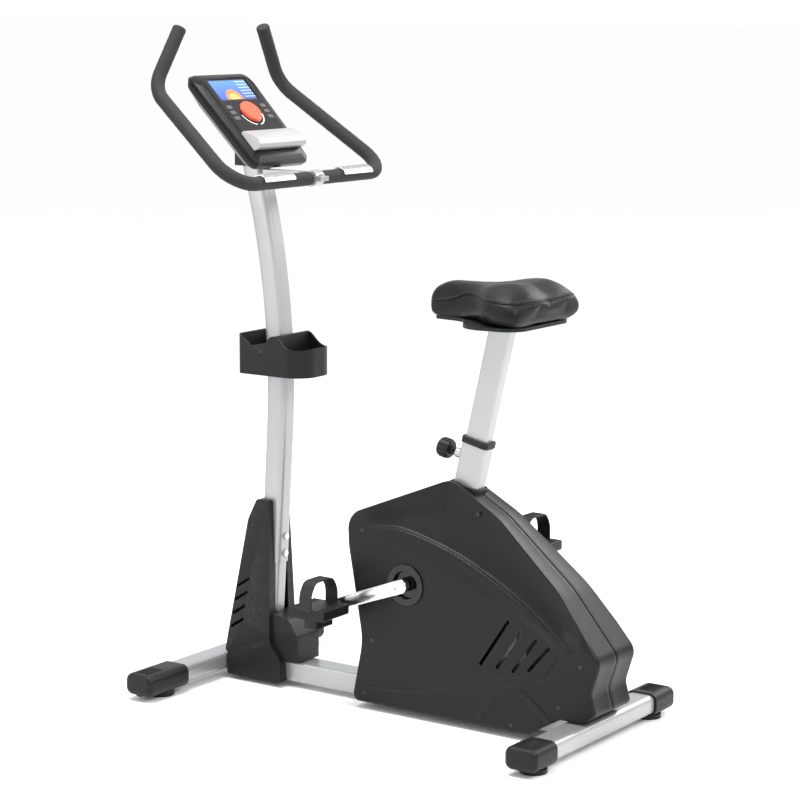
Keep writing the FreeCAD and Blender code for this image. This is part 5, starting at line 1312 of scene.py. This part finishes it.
def arc_strip(name, inner, outer, start, end, low, high, material):
    """A curved raised strip round the dial; angles in degrees from the up direction."""
    rings = []
    for k in range(33):
        t = math.radians(start + (end - start) * k / 32)
        u, y = math.cos(t), math.sin(t)
        rings.append([con(132 + u * r, y * r, n) for r, n in
                      ((inner, low), (inner, high), (outer, high), (outer, low))])
    return lofted(name, rings, material, True, 30.0)


def screen_material():
    """Lit display: a blue field with plain shapes and bars."""
    material, tree, shader = new_material("Display")
    if tree is None:
        return material
    uv = add_node(tree, "ShaderNodeSeparateXYZ", None,
                  Vector=tree.nodes.new("ShaderNodeTexCoord").outputs["UV"]).outputs
    sky = add_node(tree, "ShaderNodeValToRGB", None, Fac=uv["Y"])
    sky.color_ramp.elements[0].color = (0.012, 0.045, 0.26, 1)
    sky.color_ramp.elements[1].color = (0.05, 0.16, 0.52, 1)
    dx = math_node(tree, "MULTIPLY", math_node(tree, "SUBTRACT", uv["X"], 0.42), 2.1)
    dy = math_node(tree, "SUBTRACT", uv["Y"], 0.08)
    far = math_node(tree, "SQRT", math_node(tree, "ADD", math_node(tree, "MULTIPLY", dx, dx),
                                            math_node(tree, "MULTIPLY", dy, dy)))
    disc = math_node(tree, "LESS_THAN", far, 0.44)
    core = math_node(tree, "LESS_THAN", far, 0.27)
    first = mix_node(tree, disc, sky.outputs[0], (0.42, 0.14, 0.035, 1))
    second = mix_node(tree, core, first, (0.62, 0.28, 0.07, 1))
    rows = math_node(tree, "LESS_THAN", math_node(tree, "FRACT", math_node(tree, "MULTIPLY",
                                                                           uv["Y"], 7.0)), 0.32)
    cells = math_node(tree, "LESS_THAN", math_node(tree, "FRACT", math_node(tree, "MULTIPLY",
                                                                            uv["X"], 19.0)), 0.62)
    right = math_node(tree, "GREATER_THAN", uv["X"], 0.70)
    bars = math_node(tree, "MULTIPLY", math_node(tree, "MULTIPLY", rows, cells), right)
    third = mix_node(tree, math_node(tree, "MULTIPLY", bars, 0.7), second,
                     (0.55, 0.62, 0.70, 1))
    edge_x = math_node(tree, "ABSOLUTE", math_node(tree, "SUBTRACT", uv["X"], 0.5))
    edge_y = math_node(tree, "ABSOLUTE", math_node(tree, "SUBTRACT", uv["Y"], 0.5))
    outer = math_node(tree, "MAXIMUM", math_node(tree, "GREATER_THAN", edge_x, 0.475),
                      math_node(tree, "GREATER_THAN", edge_y, 0.45))
    last = mix_node(tree, outer, third, (0.02, 0.02, 0.025, 1))
    tree.links.new(last, shader.inputs["Base Color"])
    tree.links.new(last, shader.inputs["Emission Color"])
    shader.inputs["Emission Strength"].default_value = 0.45
    speckle = add_node(tree, "ShaderNodeTexNoise", None, Scale=60.0,
                       Vector=tree.nodes.new("ShaderNodeTexCoord").outputs["Object"]).outputs[0]
    tree.links.new(add_node(tree, "ShaderNodeMapRange", None, Value=speckle, To_Min=0.06,
                            To_Max=0.16).outputs[0], shader.inputs["Roughness"])
    shader.inputs["Coat Weight"].default_value = 0.6
    return material


class BIKE_OT_console(bpy.types.Operator):
    """Console housing, face, overlay, display, dial, keys and reading rest"""
    bl_idname = "bike.console"
    bl_label = "Console"

    def execute(self, context):
        copy_placed("Console_housing", "console_housing", "frame", console_plastic(), 1.6 * MM)
        copy_placed("Console_face", "console_face", "frame", console_plastic(), 1.4 * MM)
        self.overlay()
        self.display()
        self.dial()
        self.keys()
        pearl = moulded("Rest pearl", colours().rest, 0.34, scale=1600.0, depth=0.2, mottle=0.03,
                        dust=0.04, coat=0.3, bump=0.00004, worn=(0.8, 0.8, 0.8))
        copy_placed("Reading_rest", "reading_rest", "frame", pearl, 1.2 * MM)
        return {"FINISHED"}

    def overlay(self):
        screen = rounded([(167, -63, 3), (227, -63, 3), (227, 63, 3), (167, 63, 3)], 1.5)
        dial = [Vector((132 + 26.8 * math.cos(t), 26.8 * math.sin(t)))
                for t in (math.tau * k / 64 for k in range(64))]
        keys = []
        for u in (148, 133, 118):
            for y in (-56, 56):
                keys.append(rounded([(u - 5.6, y - 9.1, 2), (u + 5.6, y - 9.1, 2),
                                     (u + 5.6, y + 9.1, 2), (u - 5.6, y + 9.1, 2)], 1.0))
        loop = rounded([(82, -73, 10), (231, -77, 14), (231, 77, 14), (82, 73, 10)], 2.0)
        panel = console_plate("Console_overlay", loop, [screen, dial] + keys, FACE_N - 0.2,
                              FACE_N + 0.7, gloss_plastic(), 0.25)
        place_piece(panel, "frame")
        light = moulded("Light guide", (0.75, 0.78, 0.80), 0.2, scale=800.0, coat=0.5)
        arcs = [arc_strip("Arc", 33, 35.2, 100, 170, FACE_N + 0.5, FACE_N + 1.1, light),
                arc_strip("Arc", 33, 35.2, -170, -100, FACE_N + 0.5, FACE_N + 1.1, light)]
        place_piece(joined("Dial_arcs", arcs), "frame")

    def display(self):
        corners = [(168.2, -61.8), (225.8, -61.8), (225.8, 61.8), (168.2, 61.8)]
        points = [con(u, y, FACE_N - 1.0) for u, y in corners]
        points += [con(u, y, FACE_N - 2.6) for u, y in corners]
        faces = [(0, 1, 2, 3), (7, 6, 5, 4)] + [(i, i + 4, (i + 1) % 4 + 4, (i + 1) % 4)
                                                for i in range(4)]
        glass = mesh_piece("Display", points, faces, screen_material(), 30.0)
        layer = glass.data.uv_layers.new(name="Display")
        for loop in glass.data.loops:
            u, y = corners[loop.vertex_index % 4]
            layer.data[loop.index].uv = ((61.8 - y) / 123.6, (u - 168.2) / 57.6)
        place_piece(glass, "frame", ["lcd_window"])

    def dial(self):
        red = moulded("Dial red", colours().dial, 0.38, scale=1200.0, depth=0.3, mottle=0.05,
                      dust=0.02, bump=0.00005, worn=(0.85, 0.25, 0.15))
        knob = copy_piece("Dial_body", "dial", red, 0.0)
        axis = con(0, 0, 1) - con(0, 0, 0)
        centre = con(132, 0, FACE_N + 7.4)
        rim = turned("Dial_rim", centre, axis, [(26.2, -6.4), (26.9, -6.0), (26.9, -4.6),
                                                (26.2, -4.2)], chrome(), 72)
        mark = console_plate("Dial_mark", rounded([(146, -1.4, 0.6), (155, -1.4, 0.6),
                                                   (155, 1.4, 0.6), (146, 1.4, 0.6)], 0.5), [],
                             FACE_N + 7.3, FACE_N + 8.0,
                             moulded("Mark white", (0.8, 0.8, 0.8), 0.4))
        place_piece(joined("Dial", [knob, rim, mark]), "dial", ["dial"])

    def keys(self):
        rubber = moulded("Key rubber", (0.055, 0.056, 0.06), 0.45, scale=1500.0)
        white = moulded("Mark white", (0.8, 0.8, 0.8), 0.4)
        for i in range(6):
            node = "key_%d" % (i + 1)
            y = 56 if i < 3 else -56
            u = (148, 133, 118)[i % 3]
            key = copy_piece("Key_body", node, rubber, 0.8 * MM, 3)
            top = top_of(node)
            shapes = [key]
            for spot in key_marks(i):
                loop = [(u + a, y + b, 0.3) for a, b in spot]
                shapes.append(console_plate("Mark", rounded(loop, 0.3), [], top - 0.3, top + 0.12,
                                            white))
            place_piece(joined("Key_%d" % (i + 1), shapes), node, [node])


def top_of(node):
    """How far a node stands out of the console's face line."""
    out = con(0, 0, 1) - con(0, 0, 0)
    base = con(0, 0, 0).dot(out)
    return max((v.co / MM).dot(out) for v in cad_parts[node].data.vertices) - base


def key_marks(index):
    """Plain shapes on the keys: an arrow, a bar or two bars."""
    arrow_up = [(2.6, 0.0), (-2.0, -2.8), (-2.0, 2.8)]
    arrow_down = [(-2.6, 0.0), (2.0, 2.8), (2.0, -2.8)]
    bar = [(-0.7, -2.8), (0.7, -2.8), (0.7, 2.8), (-0.7, 2.8)]
    block = [(-2.0, -2.0), (2.0, -2.0), (2.0, 2.0), (-2.0, 2.0)]
    return [[], [], [], [arrow_up], [block], [arrow_down, [(a + 4.0, b) for a, b in bar]]][index]


# ---- seat fittings ------------------------------------------------------------------------
class BIKE_OT_seat_fittings(bpy.types.Operator):
    """Ribbed bush at the seat tube's mouth and the fluted locking knob"""
    bl_idname = "bike.seat_fittings"
    bl_label = "Seat fittings"

    def execute(self, context):
        copy_placed("Post_bush", "seat_tube_bush", "frame", cap_plastic(), 1.0 * MM)
        knob = copy_piece("Knob_body", "seat_knob", cap_plastic(), 0.6 * MM, 2)
        axis = Vector((math.cos(SEAT_LEAN), 0, math.sin(SEAT_LEAN)))
        up = Vector((-math.sin(SEAT_LEAN), 0, math.cos(SEAT_LEAN)))
        pivot = Vector((SEAT_PIVOT[0], 0, SEAT_PIVOT[1])) - up * 24
        parts = [knob]
        for k in range(14):
            t = math.tau * k / 14
            spoke = up * math.cos(t) + Vector((0, 1, 0)) * math.sin(t)
            start, end = pivot + axis * 61.5 + spoke * 18.8, pivot + axis * 80.5 + spoke * 18.8
            rings = tube_rings([start, start.lerp(end, 0.08), start.lerp(end, 0.92), end],
                               lambda s: 1.9 if 0.01 < s < 0.99 else 0.9, 8)
            parts.append(lofted("Flute", rings, cap_plastic()))
        place_piece(joined("Post_knob", parts), "seat_knob", ["seat_knob"])
        return {"FINISHED"}


# ---- stage --------------------------------------------------------------------------------
def add_light(name, at, target, size, power, colour=(1, 1, 1)):
    data = bpy.data.lights.new(name, "AREA")
    data.shape = "RECTANGLE"
    data.size, data.size_y = size
    data.energy = power
    data.color = colour
    light = bpy.data.objects.new(name, data)
    light.location = at
    light.rotation_euler = (Vector(target) - Vector(at)).to_track_quat("-Z", "Y").to_euler()
    bpy.context.scene.collection.objects.link(light)


class BIKE_OT_stage(bpy.types.Operator):
    """Floor, lights and camera"""
    bl_idname = "bike.stage"
    bl_label = "Stage"

    def execute(self, context):
        scene = context.scene
        floor = mesh_piece("Floor", [(-9e4, -9e4, 0), (9e4, -9e4, 0), (9e4, 9e4, 0),
                                     (-9e4, 9e4, 0)], [(0, 1, 2, 3)],
                           moulded("Floor", colours().floor, 0.6, scale=90.0, depth=0.3,
                                   mottle=0.02, dust=0.0, wear=0.0, bump=0.0001))
        world = bpy.data.worlds.new("Studio")
        world.use_nodes = True
        world.node_tree.nodes["Background"].inputs["Color"].default_value = (1.0, 1.0, 1.0, 1)
        world.node_tree.nodes["Background"].inputs["Strength"].default_value = 1.02
        scene.world = world
        target = (0, 0, 0.6)
        add_light("Key", (-3.4, 0.6, 3.4), target, (1.6, 1.6), 110)
        add_light("Side", (2.6, 3.4, 1.8), target, (1.2, 2.4), 40)
        add_light("Back", (-1.2, -3.6, 2.6), target, (3.0, 1.4), 80)
        add_light("Top", (0.4, 0.6, 3.6), target, (1.6, 1.2), 110)
        scene.view_settings.view_transform = "Standard"
        add_camera(scene)
        return {"FINISHED"}


def add_camera(scene):
    ahead = Vector((0.5615, -0.8111, -0.1641)).normalized()
    level = Vector((-0.8222, -0.5692, 0.0)).normalized()
    above = level.cross(ahead)
    roll = 0.0037
    right = level * math.cos(roll) + above * math.sin(roll)
    up = right.cross(ahead)
    camera = bpy.data.objects.new("Camera", bpy.data.cameras.new("Camera"))
    camera.data.lens = 110.97
    camera.data.sensor_width = 36.0
    camera.data.clip_end = 400.0
    camera.matrix_world = Matrix((
        (right.x, up.x, -ahead.x, -2.7958), (right.y, up.y, -ahead.y, 4.0617),
        (right.z, up.z, -ahead.z, 1.4605), (0, 0, 0, 1)))
    scene.collection.objects.link(camera)
    scene.camera = camera


# ---- panel and registration ---------------------------------------------------------------
OPERATORS = [BIKE_OT_frame, BIKE_OT_drive, BIKE_OT_casing, BIKE_OT_covers, BIKE_OT_cranks,
             BIKE_OT_pedals, BIKE_OT_saddle, BIKE_OT_seat_fittings, BIKE_OT_handlebar,
             BIKE_OT_console, BIKE_OT_stage]


class BIKE_PT_pieces(bpy.types.Panel):
    """Lists the pieces of the bike and its sizes and colours"""
    bl_label = "Exercise bike"
    bl_idname = "BIKE_PT_pieces"
    bl_space_type = "VIEW_3D"
    bl_region_type = "UI"
    bl_category = "Bike"

    def draw(self, context):
        layout = self.layout
        for group in (context.scene.bike_sizes, context.scene.bike_colours):
            column = layout.column(align=True)
            for name in group.__annotations__:
                column.prop(group, name)
        for operator in OPERATORS:
            layout.operator(operator.bl_idname)


CLASSES = [BikeSizes, BikeColours, *OPERATORS, BIKE_PT_pieces]


def register():
    for cls in CLASSES:
        bpy.utils.register_class(cls)
    bpy.types.Scene.bike_sizes = PointerProperty(type=BikeSizes)
    bpy.types.Scene.bike_colours = PointerProperty(type=BikeColours)


def unregister():
    del bpy.types.Scene.bike_colours
    del bpy.types.Scene.bike_sizes
    for cls in reversed(CLASSES):
        bpy.utils.unregister_class(cls)


def main():
    register()
    for operator in OPERATORS:
        module, name = operator.bl_idname.split(".")
        getattr(getattr(bpy.ops, module), name)()


if __name__ == "__main__":
    main()
